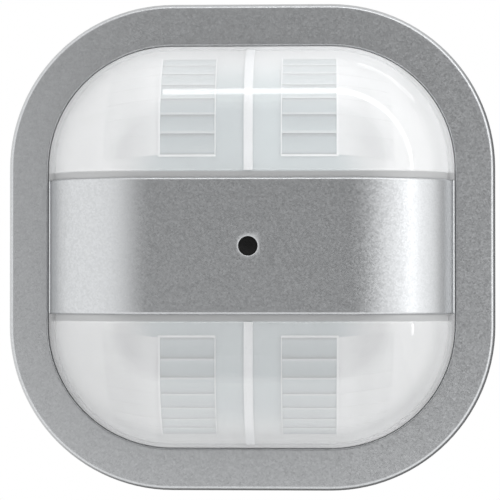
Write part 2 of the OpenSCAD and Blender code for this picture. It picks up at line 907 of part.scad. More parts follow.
module rear_case() {
    window_half = 1.5 * terminal_pitch + fit_gap;
    color(grey_plastic) stand_up() {
        difference() {
            union() {
                case_block(0, case_back, board_seat);
                case_flange(plate_t, rear_flange_t);
            }
            case_block(-case_wall, case_back + case_wall, board_seat + over);
            housing_screw_holes();
            box_between(
                [-window_half, housing_low_y - over, housing_rear - fit_gap],
                [window_half, housing_high_y + fit_gap, power_rear + fit_gap]
            );
            for (k = [-1 : 1]) {
                translate([k * terminal_pitch, terminal_y, 0]) {
                    rod(access_r, case_back - over, case_back + case_wall + over);
                }
            }
        }
        at_posts() difference() {
            rod(post_r, case_back + bite, power_rear);
            rod(board_screw_r + screw_gap, power_rear - board_screw_l, power_rear + over);
        }
    }
}

module front_case() {
    color(pale_plastic) stand_up() {
        difference() {
            union() {
                case_flange(board_seat, front_flange_t);
                case_block(lid_overhang, board_seat, lid_h);
            }
            case_block(lid_overhang - lid_wall, board_seat - over, lid_under);
            housing_screw_holes();
            for (side = [-1, 1]) {
                translate([side * pyro_x, 0, 0]) cylinder(r = pyro_r + fit_gap, h = lid_h + over);
            }
            cylinder(r = light_hole_r, h = lid_h + over);
            for (k = [-1 : 1]) {
                translate([k * dial_pitch, -dial_drop, 0]) cylinder(r = dial_r + fit_gap, h = lid_h + over);
            }
        }
        at_posts() rod(board_screw_r, board_front, lid_under + bite);
    }
}

module housing_screws() {
    color(zinc) stand_up() at_mirrored(housing_screw_x, housing_screw_y) translate([0, 0, flange_top]) {
        screw(housing_head_r, housing_head_h, housing_screw_r, housing_screw_l);
    }
}

module sensor_board() {
    color(board_green) stand_up() case_block(lid_overhang - lid_wall - fit_gap, board_seat, board_front);
}

module pyro_sensor(side) {
    low = board_front + spacer_t;
    color(zinc) stand_up() translate([side * pyro_x, 0, low]) difference() {
        union() {
            cylinder(r = pyro_rim_r, h = pyro_rim_t);
            cylinder(r = pyro_r, h = pyro_h);
        }
        translate([0, 0, pyro_h - filter_t + over / 2]) {
            cube([filter_w + 2 * screw_gap, filter_h + 2 * screw_gap, over], center = true);
        }
    }
}

module left_pyro_sensor() {
    pyro_sensor(-1);
}

module right_pyro_sensor() {
    pyro_sensor(1);
}

module pyro_windows() {
    middle = board_front + spacer_t + pyro_h - filter_t / 2;
    color(smoked) stand_up() for (side = [-1, 1]) {
        translate([side * pyro_x, 0, middle]) cube([filter_w, filter_h, filter_t], center = true);
    }
}

module pyro_spacers() {
    color(black_plastic) stand_up() for (side = [-1, 1]) {
        translate([side * pyro_x, 0, 0]) rod(spacer_r, board_front, board_front + spacer_t);
    }
}

module photo_sensor() {
    color(smoked) stand_up() translate([0, 0, board_front]) {
        translate([-photo_w / 2, -photo_w / 2, 0]) cube([photo_w, photo_w, photo_h]);
        cylinder(d = photo_eye_d, h = photo_h + photo_eye_h);
    }
}

module control_chip() {
    color(black_plastic) stand_up() {
        translate([-chip_w / 2, chip_y - chip_w / 2, board_front]) cube([chip_w, chip_w, chip_t]);
    }
}

// Children at one dial, counted from the middle one
module at_dial(k) {
    translate([k * dial_pitch, -dial_drop, 0]) children();
}

module trimmer_bodies() {
    half = trimmer_w / 2;
    color(black_plastic) stand_up() for (k = [-1 : 1]) {
        at_dial(k) difference() {
            box_between([-half, -half, board_front], [half, half, trimmer_top]);
            rod(dial_shaft_r + shaft_gap, dial_low - dial_shaft_l - fit_gap, trimmer_top + over);
        }
    }
}

// Dial with a screwdriver slot that runs out on one side as its pointer
module dial(k) {
    top = lid_h + dial_proud;
    color(pale_plastic) stand_up() at_dial(k) difference() {
        union() {
            rod(dial_r, dial_low, top);
            rod(dial_shaft_r, dial_low - dial_shaft_l, dial_low + bite);
        }
        translate([-dial_slot_w / 2, -dial_r / 2, top - dial_slot_d]) cube([dial_slot_w, 2 * dial_r, over]);
    }
}

module time_dial() {
    dial(-1);
}

module lux_dial() {
    dial(0);
}

module range_dial() {
    dial(1);
}

module board_header() {
    color(black_plastic) stand_up() {
        box_between(
            [-header_l / 2, header_y - header_w / 2, power_front],
            [header_l / 2, header_y + header_w / 2, board_seat]
        );
    }
}

module power_board() {
    color(board_green) stand_up() difference() {
        case_block(-case_wall - fit_gap, power_rear, power_front);
        at_posts() rod(board_screw_r + screw_gap, power_rear - over, power_front + over);
    }
}

module board_screws() {
    color(zinc) stand_up() at_posts() translate([0, 0, power_front]) {
        screw(board_head_r, board_head_h, board_screw_r, board_t + board_screw_l - fit_gap);
    }
}

// Children at a place on the power board's rear face, with z pointing backwards
module behind_board(at) {
    translate([at[0], at[1], power_rear]) mirror([0, 0, 1]) children();
}

module relay() {
    color(black_plastic) stand_up() behind_board(relay_at) {
        translate([-relay_w / 2, -relay_l / 2, 0]) cube([relay_w, relay_l, relay_h]);
    }
}

module film_capacitor() {
    color(pale_plastic) stand_up() behind_board(film_at) {
        translate([-film_w / 2, -film_l / 2, 0]) cube([film_w, film_l, film_h]);
    }
}

module smoothing_capacitor() {
    color(black_plastic) stand_up() behind_board(can_at) cylinder(r = can_r, h = can_h);
}

// Upright disc on a flat foot
module varistor() {
    half = varistor_t / 2;
    color(brass) stand_up() behind_board(varistor_at) {
        translate([0, 0, varistor_r]) rotate([90, 0, 0]) rod(varistor_r, -half, half);
        box_between([-varistor_r / 2, -half, 0], [varistor_r / 2, half, varistor_r / 2]);
    }
}

// Tube with an end cap at each end that stands on the board
module fuse() {
    color(zinc) stand_up() behind_board(fuse_at) translate([0, 0, cap_half]) {
        rotate([0, 90, 0]) rod(fuse_r, -fuse_l / 2, fuse_l / 2);
        for (side = [-1, 1]) {
            translate([side * (fuse_l - fuse_cap_l) / 2, 0, 0]) {
                cube([fuse_cap_l, 2 * cap_half, 2 * cap_half], center = true);
            }
        }
    }
}

// Body of one terminal: a chamber for the clamp, a wire hole below and a screw hole behind
module terminal_housing(k) {
    half = terminal_pitch / 2 - screw_gap;
    chamber_half = cage_w / 2 + fit_gap;
    slot_half = bar_w / 2 + screw_gap;
    x = k * terminal_pitch;
    color(black_plastic) stand_up() translate([x, 0, 0]) difference() {
        intersection() {
            translate([-x, 0, 0]) case_block(0, housing_rear, power_rear);
            box_between([-half, housing_low_y - over, housing_rear], [half, housing_high_y, power_rear]);
        }
        box_between(
            [-chamber_half, chamber_low_y, chamber_rear],
            [chamber_half, chamber_high_y, chamber_front]
        );
        box_between(
            [-slot_half, chamber_high_y - over, bar_rear - screw_gap],
            [slot_half, bar_high_y + screw_gap, power_rear + over]
        );
        translate([0, chamber_low_y, wire_z]) rotate([90, 0, 0]) rod(wire_r, -bite, wire_hole_l + over);
        translate([0, terminal_y, 0]) {
            rod(terminal_screw_r + shaft_gap, housing_rear - over, chamber_rear + over);
        }
    }
}

module terminal_housing_line() {
    terminal_housing(-1);
}

module terminal_housing_neutral() {
    terminal_housing(0);
}

module terminal_housing_load() {
    terminal_housing(1);
}

// Contact strips through the clamps, turned up to the power board
module terminal_bars() {
    half = bar_w / 2;
    color(brass) stand_up() for (k = [-1 : 1]) {
        translate([k * terminal_pitch, 0, 0]) {
            box_between([-half, chamber_low_y + fit_gap, bar_rear], [half, bar_high_y, bar_front]);
            box_between([-half, bar_high_y - bar_t, bar_rear], [half, bar_high_y, power_rear]);
        }
    }
}

// Clamp: a square loop round the contact strip and the wire, threaded on the screw's side
module terminal_cage(k) {
    low_y = chamber_low_y + fit_gap;
    high_y = chamber_high_y - fit_gap;
    half = cage_w / 2;
    room_half = half - cage_wall;
    color(zinc) stand_up() translate([k * terminal_pitch, 0, 0]) difference() {
        box_between([-half, low_y, cage_rear], [half, high_y, cage_front]);
        box_between(
            [-room_half, low_y - over, nut_front],
            [room_half, high_y + over, cage_front - cage_front_t]
        );
        translate([0, terminal_y, 0]) rod(terminal_screw_r + shaft_gap, cage_rear - over, nut_front + over);
    }
}

module terminal_cage_line() {
    terminal_cage(-1);
}

module terminal_cage_neutral() {
    terminal_cage(0);
}

module terminal_cage_load() {
    terminal_cage(1);
}

module terminal_screw(k) {
    head_front = housing_rear - screw_gap;
    color(zinc) stand_up() translate([k * terminal_pitch, terminal_y, head_front]) rotate([180, 0, 0]) {
        screw(terminal_head_r, terminal_head_h, terminal_screw_r, bar_rear - tip_gap - head_front);
    }
}

module terminal_screw_line() {
    terminal_screw(-1);
}

module terminal_screw_neutral() {
    terminal_screw(0);
}

module terminal_screw_load() {
    terminal_screw(1);
}

front_frame();
fresnel_lens();
centre_band();
light_guide();
lens_retainer();
retainer_screws();
support_plate();
claw_pins();
left_claw();
right_claw();
left_claw_screw();
right_claw_screw();
rear_case();
front_case();
housing_screws();
sensor_board();
left_pyro_sensor();
right_pyro_sensor();
pyro_windows();
pyro_spacers();
photo_sensor();
control_chip();
trimmer_bodies();
time_dial();
lux_dial();
range_dial();
board_header();
power_board();
board_screws();
relay();
film_capacitor();
smoothing_capacitor();
varistor();
fuse();
terminal_housing_line();
terminal_housing_neutral();
terminal_housing_load();
terminal_bars();
terminal_cage_line();
terminal_cage_neutral();
terminal_cage_load();
terminal_screw_line();
terminal_screw_neutral();
terminal_screw_load();
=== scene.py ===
# %% [markdown]
# # Dressing a motion sensor light switch
#
# The switch is a square silver cover with a domed milky lens, a silver band and a small black window. Behind
# it sit a steel plate, spreading claws, a moulded case and the wire terminals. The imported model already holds
# every piece at its true size, so this lesson remakes what shows most as finer meshes and gives each surface
# its finish.

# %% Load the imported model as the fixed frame
import json
import math
from functools import partialmethod

import bmesh
import bpy
import numpy as np
from mathutils import Matrix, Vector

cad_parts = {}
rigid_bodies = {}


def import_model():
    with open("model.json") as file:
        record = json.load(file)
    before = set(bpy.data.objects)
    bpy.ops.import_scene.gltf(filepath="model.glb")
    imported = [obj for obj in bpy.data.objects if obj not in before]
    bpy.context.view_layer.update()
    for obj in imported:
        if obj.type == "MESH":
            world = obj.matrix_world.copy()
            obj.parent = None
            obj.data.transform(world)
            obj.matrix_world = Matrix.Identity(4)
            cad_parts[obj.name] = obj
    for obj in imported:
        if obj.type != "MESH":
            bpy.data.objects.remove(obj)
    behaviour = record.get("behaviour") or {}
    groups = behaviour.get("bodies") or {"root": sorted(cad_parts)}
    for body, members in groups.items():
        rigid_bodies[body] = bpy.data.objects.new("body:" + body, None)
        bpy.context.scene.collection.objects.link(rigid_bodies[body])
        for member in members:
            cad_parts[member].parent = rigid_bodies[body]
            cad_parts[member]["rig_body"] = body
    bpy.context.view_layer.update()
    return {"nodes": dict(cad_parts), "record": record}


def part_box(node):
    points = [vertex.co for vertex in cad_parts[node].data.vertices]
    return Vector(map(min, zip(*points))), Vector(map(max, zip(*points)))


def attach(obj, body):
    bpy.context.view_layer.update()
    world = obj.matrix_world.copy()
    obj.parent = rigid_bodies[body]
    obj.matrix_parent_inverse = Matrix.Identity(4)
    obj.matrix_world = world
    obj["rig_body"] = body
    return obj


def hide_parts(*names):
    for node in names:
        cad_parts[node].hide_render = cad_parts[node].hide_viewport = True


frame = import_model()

# %% [markdown]
# ## Face coordinates
#
# A wall fitting is easiest to think of lying on its back: x to the right, y up, z out of the wall, in
# millimetres. One function turns such points into the frame's metres, where the front faces -Y and the top
# faces +Z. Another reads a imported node's box back into face millimetres, so that sizes come from the frame.

# %% Millimetres on the face, metres in the frame
MM = 0.001


def to_frame(points):
    x, y, z = np.asarray(points, float).T
    return np.stack([x, -z, y], axis=1) * MM


def face_box(node):
    low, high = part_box(node)
    face_low = np.array([low.x, low.z, -high.y]) / MM
    face_high = np.array([high.x, high.z, -low.y]) / MM
    return face_low, face_high


frame_low, frame_high = face_box("front_frame")
lens_low, lens_high = face_box("fresnel_lens")
band_low, band_high = face_box("centre_band")
guide_low, guide_high = face_box("light_guide")
face_half = frame_high[0]
print("face width:", round(2 * face_half, 2), "mm, depth in front of the wall:", round(band_high[2], 2), "mm")

# %% [markdown]
# ## One class for node maths
#
# Finishes and Geometry Nodes both need sums on sockets. Wiring Math nodes by hand hides the formula, so one
# small class wraps a socket and lets Python's own operators add the nodes. `1 - mask` works as well as
# `mask - 1`. Every other node comes from the class's `node` method: its kind, its settings and what its
# sockets hold.

# %% The Wire class
MIX_COLOURS = (6, 7)
MIX_RESULT = 2


class Wire:
    """A socket in a node tree. Arithmetic on wires adds Math nodes to that tree."""

    def __init__(self, socket):
        self.socket = socket
        self.tree = socket.id_data

    @staticmethod
    def node(tree, kind, sockets=None, outlet=0, **settings):
        """Adds a node, sets it up, then fills or links its sockets. Returns one outlet, if there is any."""
        made = tree.nodes.new(kind)
        for name, value in settings.items():
            setattr(made, name, value)
        for name, value in (sockets or {}).items():
            plug(made.inputs[name], value)
        return Wire(made.outputs[outlet]) if made.outputs else None

    def math(self, operation, *others):
        """A Math node on this wire and others."""
        values = dict(enumerate((self, *others)))
        return Wire.node(self.tree, "ShaderNodeMath", values, operation=operation)

    def swapped(self, operation, first):
        """A Math node with this wire second."""
        return Wire.node(self.tree, "ShaderNodeMath", {0: first, 1: self}, operation=operation)

    __add__ = partialmethod(math, "ADD")
    __sub__ = partialmethod(math, "SUBTRACT")
    __mul__ = partialmethod(math, "MULTIPLY")
    __truediv__ = partialmethod(math, "DIVIDE")
    __pow__ = partialmethod(math, "POWER")
    __gt__ = partialmethod(math, "GREATER_THAN")
    __lt__ = partialmethod(math, "LESS_THAN")
    __abs__ = partialmethod(math, "ABSOLUTE")
    __radd__ = partialmethod(swapped, "ADD")
    __rsub__ = partialmethod(swapped, "SUBTRACT")
    __rmul__ = partialmethod(swapped, "MULTIPLY")
    __rtruediv__ = partialmethod(swapped, "DIVIDE")
    __rpow__ = partialmethod(swapped, "POWER")

    def vector_math(self, operation, *others, outlet=0, **sockets):
        """A Vector Math node on this wire and others."""
        values = {**dict(enumerate((self, *others))), **sockets}
        return Wire.node(self.tree, "ShaderNodeVectorMath", values, outlet, operation=operation)

    def blend(self, first, second):
        """The colour that lies this share of the way from the first to the second."""
        sockets = {0: self, MIX_COLOURS[0]: first, MIX_COLOURS[1]: second}
        return Wire.node(self.tree, "ShaderNodeMix", sockets, MIX_RESULT, data_type="RGBA")

    def ramp(self, start, end):
        """Rises smoothly from 0 at start to 1 at end."""
        sockets = {"Value": self, "From Min": start, "From Max": end}
        return Wire.node(self.tree, "ShaderNodeMapRange", sockets, interpolation_type="SMOOTHSTEP")

    def over(self, span):
        """Rises smoothly from 0 to 1 over a span of millimetres."""
        return self.ramp(span[0] * MM, span[1] * MM)

    def split(self):
        """The three parts of a vector."""
        made = Wire.node(self.tree, "ShaderNodeSeparateXYZ", {0: self}).socket.node
        return [Wire(outlet) for outlet in made.outputs]


def plug(socket, value):
    """Links a wire or a list of wires to a socket, or sets the socket's own value."""
    if isinstance(value, list):
        for part in value:
            plug(socket, part)
    elif isinstance(value, Wire):
        socket.id_data.links.new(value.socket, socket)
    else:
        socket.default_value = value


print("node maths ready")

# %% [markdown]
# ## Meshes from outlines
#
# Nearly every moulded piece here is an outline carried along a path: round the rounded square, along the
# band's arch, or round an axis. Sharp corners would look like a drawing, so an outline is given as corners
# with a radius each, and `rounded` turns them into short arcs.

# %% Outlines with rounded corners
FILLET_STEPS = 6
FLAT_GUARD = 0.04


def rounded(corners):
    """Points round a closed outline whose corners are (u, v, radius)."""
    points = []
    count = len(corners)
    for k in range(count):
        corner = np.array(corners[k][:2], float)
        radius = corners[k][2]
        if radius == 0:
            points.append(corner)
            continue
        back = np.array(corners[k - 1][:2], float) - corner
        ahead = np.array(corners[(k + 1) % count][:2], float) - corner
        back /= np.linalg.norm(back)
        ahead /= np.linalg.norm(ahead)
        half = math.acos(np.clip(back @ ahead, -1, 1)) / 2
        inwards = (back + ahead) / np.linalg.norm(back + ahead)
        centre = corner + inwards * radius / math.sin(half)
        start = corner + back * radius / math.tan(half) - centre
        end = corner + ahead * radius / math.tan(half) - centre
        sweep = math.acos(np.clip(start @ end / radius**2, -1, 1))
        points.append(centre + start + back * FLAT_GUARD)
        for share in np.linspace(0, 1, FILLET_STEPS + 1):
            first = math.sin((1 - share) * sweep) / math.sin(sweep)
            second = math.sin(share * sweep) / math.sin(sweep)
            points.append(centre + first * start + second * end)
        points.append(centre + end + ahead * FLAT_GUARD)
    return np.array(points)


print("arc steps in a rounded corner:", FILLET_STEPS)

# %% Outlines carried along a path
CORNER_R = 27.0
CORNER_STEPS = 28
QUARTERS = 4
corner_axis = face_half - CORNER_R
ring_count = QUARTERS * (CORNER_STEPS + 1)


def square_ring(r):
    """Points round the rounded square whose corners have radius r about the shared corner axes."""
    angles = np.linspace(0, math.pi / 2, CORNER_STEPS + 1)
    corners = []
    for quarter in range(QUARTERS):
        turned = angles + quarter * math.pi / 2
        side = np.sign([math.cos(turned.mean()), math.sin(turned.mean())])
        corners.append(corner_axis * side + r * np.stack([np.cos(turned), np.sin(turned)], axis=1))
    return np.concatenate(corners)


def grid_faces(rows, columns, wrap_rows=False, wrap_columns=False):
    """Quads over a grid of points that is numbered row by row."""
    faces = []
    for i in range(rows if wrap_rows else rows - 1):
        for j in range(columns if wrap_columns else columns - 1):
            row, below, right = i * columns, (i + 1) % rows * columns, (j + 1) % columns
            faces.append((row + j, row + right, below + right, below + j))
    return faces


def square_sweep(outline, closed=True, squeeze=None):
    """An outline of (r, z) points carried round the rounded square. squeeze(r) makes a ring lower."""
    rings = []
    for r, z in outline:
        ring = np.column_stack([square_ring(r), np.full(ring_count, z)])
        if squeeze:
            ring[:, 1] *= 1 - squeeze(r) / (corner_axis + r)
        rings.append(ring)
    return np.concatenate(rings), grid_faces(len(outline), ring_count, closed, True)


def lathe(outline, steps):
    """A closed outline of (r, z) points carried round the z axis."""
    angles = np.arange(steps) * 2 * math.pi / steps
    rings = [np.column_stack([r * np.cos(angles), r * np.sin(angles), np.full(steps, z)]) for r, z in outline]
    return np.concatenate(rings), grid_faces(len(outline), steps, False, True)


def loft(rows):
    """A closed solid through rows of as many points each, with the first and the last row filled."""
    count = len(rows[0])
    last = (len(rows) - 1) * count
    faces = grid_faces(len(rows), count, False, True)
    faces += [tuple(range(count)), tuple(range(last, last + count))]
    return np.concatenate(rows), faces


def block(low, high):
    """A plain box between two corners."""
    corners = [(x, y, z) for z in (low[2], high[2]) for y in (low[1], high[1]) for x in (low[0], high[0])]
    faces = [(0, 2, 3, 1), (4, 5, 7, 6), (0, 1, 5, 4), (2, 6, 7, 3), (0, 4, 6, 2), (1, 3, 7, 5)]
    return np.array(corners, float), faces


print("points in a ring round the face:", ring_count)

# %% Meshes and objects
MERGE = 1e-7
SMOOTH_BELOW = math.radians(32)


def tidy(shape):
    """Merges doubles, drops faces with no area and points every face outwards."""
    bmesh.ops.remove_doubles(shape, verts=shape.verts, dist=MERGE)
    bmesh.ops.dissolve_degenerate(shape, edges=shape.edges, dist=MERGE)
    bmesh.ops.recalc_face_normals(shape, faces=shape.faces)


def shape_of(parts):
    """One editable mesh of closed parts, each (points, faces)."""
    shape = bmesh.new()
    for points, faces in parts:
        made = [shape.verts.new(p) for p in points]
        for face in faces:
            shape.faces.new([made[k] for k in face])
    tidy(shape)
    return shape


def mesh_from(shape, name):
    """A plain mesh from an editable one, which is then freed."""
    mesh = bpy.data.meshes.new(name)
    shape.to_mesh(mesh)
    shape.free()
    return mesh


def put(name, mesh, *materials):
    """An object in the scene from a mesh and its materials."""
    for material in materials:
        mesh.materials.append(material)
    obj = bpy.data.objects.new(name, mesh)
    bpy.context.scene.collection.objects.link(obj)
    return obj


def shade(mesh):
    """Smooth shading, with edges kept sharp where faces meet at an angle."""
    mesh.shade_smooth()
    mesh.set_sharp_from_angle(angle=SMOOTH_BELOW)


def solid(name, parts, *materials):
    """One object in the frame from closed parts in face millimetres, each (points, faces)."""
    mesh = mesh_from(shape_of([(to_frame(points), faces) for points, faces in parts]), name)
    shade(mesh)
    return put(name, mesh, *materials)


print("edges stay sharp above", round(math.degrees(SMOOTH_BELOW)), "degrees")

# %% Cutting and seating pieces
def settle(obj):
    """Turns an object's modifiers into its plain mesh."""
    bpy.context.view_layer.update()
    graph = bpy.context.evaluated_depsgraph_get()
    mesh = bpy.data.meshes.new_from_object(obj.evaluated_get(graph), depsgraph=graph)
    obj.modifiers.clear()
    obj.data = mesh
    return obj


def carve(obj, cutter):
    """Cuts one object's shape out of another."""
    cut = obj.modifiers.new("cut", "BOOLEAN")
    cut.operation = "DIFFERENCE"
    cut.solver = "EXACT"
    cut.object = cutter
    settle(obj)
    bpy.data.objects.remove(cutter)


def dress(obj, body, slot, *nodes):
    """Seats a finished piece: what it moves with and the nodes it stands for, which it hides. slot is not used.
    """
    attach(obj, body)
    if nodes:
        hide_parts(*nodes)
    print("made", obj.name, "with", len(obj.data.polygons), "faces")


print("piece helpers ready")

# %% [markdown]
# ## Silver lacquer
#
# The frame and band are plastic with a silver lacquer: metal flakes in a clear satin coat. Close up, each
# flake is tilted its own way, so the edge of a highlight breaks into grains. A Voronoi pattern gives every
# flake a random colour, which tints it a little and tilts its normal. That keeps the grain in the surface,
# where it stays put when the view moves.

# %% Finishes and patterns
MID_COLOUR = (0.5, 0.5, 0.5)


def grey(level, warmth=0.0, red=1.0):
    """A colour near grey, in linear light. Warmth above 0 is yellower, below 0 bluer. red scales its red."""
    return (level * (1 + warmth) * red, level, level * (1 - warmth), 1.0)


def finish(name, **constants):
    """A new material with constants of its shader, and its object coordinates."""
    material = bpy.data.materials.new(name)
    material.use_nodes = True
    paint(material, **constants)
    return material, Wire.node(material.node_tree, "ShaderNodeTexCoord", outlet="Object")


def paint(material, **sockets):
    """Fills or links sockets of a material's shader."""
    shader = material.node_tree.nodes["Principled BSDF"]
    for name, value in sockets.items():
        plug(shader.inputs[name.replace("_", " ")], value)
    return material


def around(level, swing, pattern):
    """A pattern from 0 to 1, turned into values round a level."""
    return level - swing + 2 * swing * pattern


def noise(place, size, detail=2.0):
    """Soft noise from 0 to 1 with features of about a given size."""
    sockets = {"Vector": place, "Scale": 1 / size, "Detail": detail}
    return Wire.node(place.tree, "ShaderNodeTexNoise", sockets, outlet="Fac")


def cells(place, size, outlet="Color"):
    """Random cells of about a given size."""
    return Wire.node(place.tree, "ShaderNodeTexVoronoi", {"Vector": place, "Scale": 1 / size}, outlet=outlet)


def tilted(colour, tilt):
    """The surface normal, leaned at random by a colour."""
    lean = colour.vector_math("SUBTRACT", MID_COLOUR).vector_math("SCALE", Scale=tilt)
    straight = Wire.node(colour.tree, "ShaderNodeNewGeometry", outlet="Normal")
    return straight.vector_math("ADD", lean).vector_math("NORMALIZE")


print("finish helpers ready")

# %% Silver lacquer
FLAKE = 0.27 * MM
FLAKE_TILT = 0.045
FLAKE_SHARE = 0.85
CLOUD = 1.6 * MM
SILVER_DARK = grey(0.405, -0.020)
SILVER_PALE = grey(0.475, -0.020)
SILVER_METAL = 0.9
SILVER_ROUGH = 0.33
SILVER_SWING = 0.03


def silver_lacquer():
    material, place = finish("silver_lacquer", Metallic=SILVER_METAL)
    flakes = cells(place, FLAKE)
    tint, gloss, _ = flakes.split()
    share = FLAKE_SHARE * tint + (1 - FLAKE_SHARE) * noise(place, CLOUD)
    rough = around(SILVER_ROUGH, SILVER_SWING, gloss)
    colour = share.blend(SILVER_DARK, SILVER_PALE)
    return paint(material, Base_Color=colour, Roughness=rough, Normal=tilted(flakes, FLAKE_TILT))


lacquer = silver_lacquer()
print("finish:", lacquer.name)

# %% [markdown]
# ## The frame
#
# The frame is one moulding: a border whose face falls a little towards its outer edge, and a side wall that
# hides the steel plate. Its section is swept round the rounded square. The edge radii are what the light runs
# along, so they are drawn as real arcs. Four small bosses inside take the retainer's screws.

# %% The frame's section
BORDER_W = 6.6
BORDER_FALL = 0.4
BORDER_T = 1.6
SKIRT_T = 1.8
SKIRT_IN_R = 0.2
SKIRT_OUT_R = 0.25
EDGE_LEAN = 0.4
EDGE_LEAN_H = 1.5
LEAN_START_R = 0.3
OUTER_EDGE_R = 0.5
INNER_EDGE_R = 0.28
UNDER_EDGE_R = 0.15
UNDER_CORNER_R = 0.3
OPENING_SQUEEZE = 0.4
border_h = frame_high[2]
border_rim = border_h - BORDER_FALL
border_under = border_rim - BORDER_T
opening_r = CORNER_R - BORDER_W
skirt_in_r = CORNER_R - SKIRT_T


def opening_squeeze(r):
    """How much lower than wide a ring is: all of it at the opening, none at the frame's outer edge."""
    border_share = (CORNER_R - EDGE_LEAN - OUTER_EDGE_R - r) / (BORDER_W - EDGE_LEAN - OUTER_EDGE_R)
    return OPENING_SQUEEZE * np.clip(border_share, 0, 1)


def frame_section():
    return rounded([
        (skirt_in_r, frame_low[2], SKIRT_IN_R),
        (CORNER_R, frame_low[2], SKIRT_OUT_R),
        (CORNER_R, border_rim - EDGE_LEAN_H, LEAN_START_R),
        (CORNER_R - EDGE_LEAN, border_rim, OUTER_EDGE_R),
        (opening_r, border_h, INNER_EDGE_R),
        (opening_r, border_under, UNDER_EDGE_R),
        (skirt_in_r, border_under, UNDER_CORNER_R),
    ])


frame_ring = square_sweep(frame_section(), squeeze=opening_squeeze)
print("frame ring:", len(frame_ring[0]), "points")

# %% The frame with its bosses
BOSS_R = 1.5
BOSS_BORE_R = 0.95
BOSS_STEPS = 24
BITE = 0.2
flange_r = lens_high[0] - corner_axis
boss_axis_r = (flange_r + skirt_in_r) / 2


def at_corners(part, r):
    """Copies of a part at the four corners, a given distance from each corner's axis."""
    points, faces = part
    reach = corner_axis + r / math.sqrt(2)
    return [(points + [x, y, 0], faces) for x in (-reach, reach) for y in (-reach, reach)]


def frame_boss():
    """A tube from under the border down to the lens's flange."""
    top = border_under + BITE
    low = lens_low[2]
    outline = [(BOSS_BORE_R, top), (BOSS_R, top), (BOSS_R, low), (BOSS_BORE_R, low), (BOSS_BORE_R, top)]
    return lathe(outline, BOSS_STEPS)


silver_frame = solid("silver_frame", [frame_ring, *at_corners(frame_boss(), boss_axis_r)], lacquer)
dress(silver_frame, "cover", "silver_paint", "front_frame")

# %% [markdown]
# ## The band
#
# A silver band bridges the lens from side to side and hooks under the frame. It is flat in the middle and
# rolls over at both ends, where it ends in a small foot on the frame. Its section is carried along that arch.
# The two long edges have a small radius, which shows as a bright line. The hole for the black window is cut
# afterwards.

# %% The band's arch
LENS_ARC_R = 13.5
BAND_PROUD = 0.6
BAND_END_GAP = 0.04
BAND_END_SINK = 0.1
FOOT_R = 0.35
FOOT_STEPS = 6
FOOT_LEVEL = math.radians(10)
FLAT_STEPS = 24
ARCH_STEPS = 32
SHOULDER_START = 15.8
SHOULDER_STRETCH = 1.024
lens_top = lens_high[2]
arc_z = lens_top - LENS_ARC_R
band_arc = LENS_ARC_R + BAND_PROUD
band_half_w = corner_axis + opening_r - BAND_END_GAP


def arch_path():
    """Places along the band's arch and the directions that face out of it, from left to right."""
    top = arc_z + band_arc
    shoulder_end = band_half_w - FOOT_R
    drop = top - border_h + BAND_END_SINK - FOOT_R
    reach = (shoulder_end - SHOULDER_START) * SHOULDER_STRETCH
    turn_end = math.asin(1 / SHOULDER_STRETCH)
    fall = drop / (1 - math.cos(turn_end))
    turn = np.linspace(0, turn_end, ARCH_STEPS)
    shoulder = np.column_stack([SHOULDER_START + reach * np.sin(turn), top - fall * (1 - np.cos(turn))])
    tilt = np.arctan2(np.sin(turn) / reach, np.cos(turn) / fall)
    foot_tilt = np.linspace(tilt[-1], FOOT_LEVEL, FOOT_STEPS + 1)[1:]
    foot_x = math.sin(tilt[-1]) - np.sin(foot_tilt)
    foot_z = math.cos(tilt[-1]) - np.cos(foot_tilt)
    foot = shoulder[-1] + FOOT_R * np.column_stack([foot_x, foot_z])
    right = np.vstack([shoulder, foot, [foot[-1][0], band_low[2]]])
    tilt = np.concatenate([tilt, foot_tilt, [math.pi / 2]])
    out = np.column_stack([np.sin(tilt), np.cos(tilt)])
    flat_x = np.linspace(-SHOULDER_START, SHOULDER_START, FLAT_STEPS)[1:-1]
    flat = np.column_stack([flat_x, np.full(len(flat_x), top)])
    path = np.vstack([right[::-1] * [-1, 1], flat, right])
    return path, np.vstack([out[::-1] * [-1, 1], np.tile([0.0, 1.0], (len(flat), 1)), out])


print("band arch:", round(2 * band_half_w, 2), "mm wide")

# %% The band
BAND_SHOW_T = 0.9
BAND_EDGE_R = 0.38
BAND_UNDER_R = 0.15
HOOK_H = 1.0
band_half_h = band_high[1]


def band_arch():
    rows_y = np.linspace(-band_half_h, band_half_h, FLAT_STEPS)[1:-1]
    section = rounded([
        (-band_half_h, 0.0, BAND_EDGE_R),
        *[(y, 0.0, 0.0) for y in rows_y],
        (band_half_h, 0.0, BAND_EDGE_R),
        (band_half_h, BAND_SHOW_T, BAND_UNDER_R),
        (-band_half_h, BAND_SHOW_T, BAND_UNDER_R),
    ])
    rows = []
    for (x, z), (out_x, out_z) in zip(*arch_path()):
        rows.append(np.column_stack([x - out_x * section[:, 1], section[:, 0], z - out_z * section[:, 1]]))
    return loft(rows)


def band_hook(side):
    """The lip at one end that goes under the border."""
    reach = sorted([side * (band_half_w - BITE), side * band_high[0]])
    return block([reach[0], -band_half_h, band_low[2]], [reach[1], band_half_h, band_low[2] + HOOK_H])


silver_band = solid("silver_band", [band_arch(), band_hook(-1), band_hook(1)], lacquer)
print("band before its hole:", len(silver_band.data.polygons), "faces")

# %% The hole for the window
WINDOW_R = 1.5
WINDOW_GAP = 0.03
HOLE_EDGE = 0.2
HOLE_BEND = 0.3 * HOLE_EDGE
HOLE_FLARE = 0.1
HOLE_LIP = 0.03
HOLE_STEPS = 64
CUT_ABOVE = 1.0
CUT_BELOW = 3.0


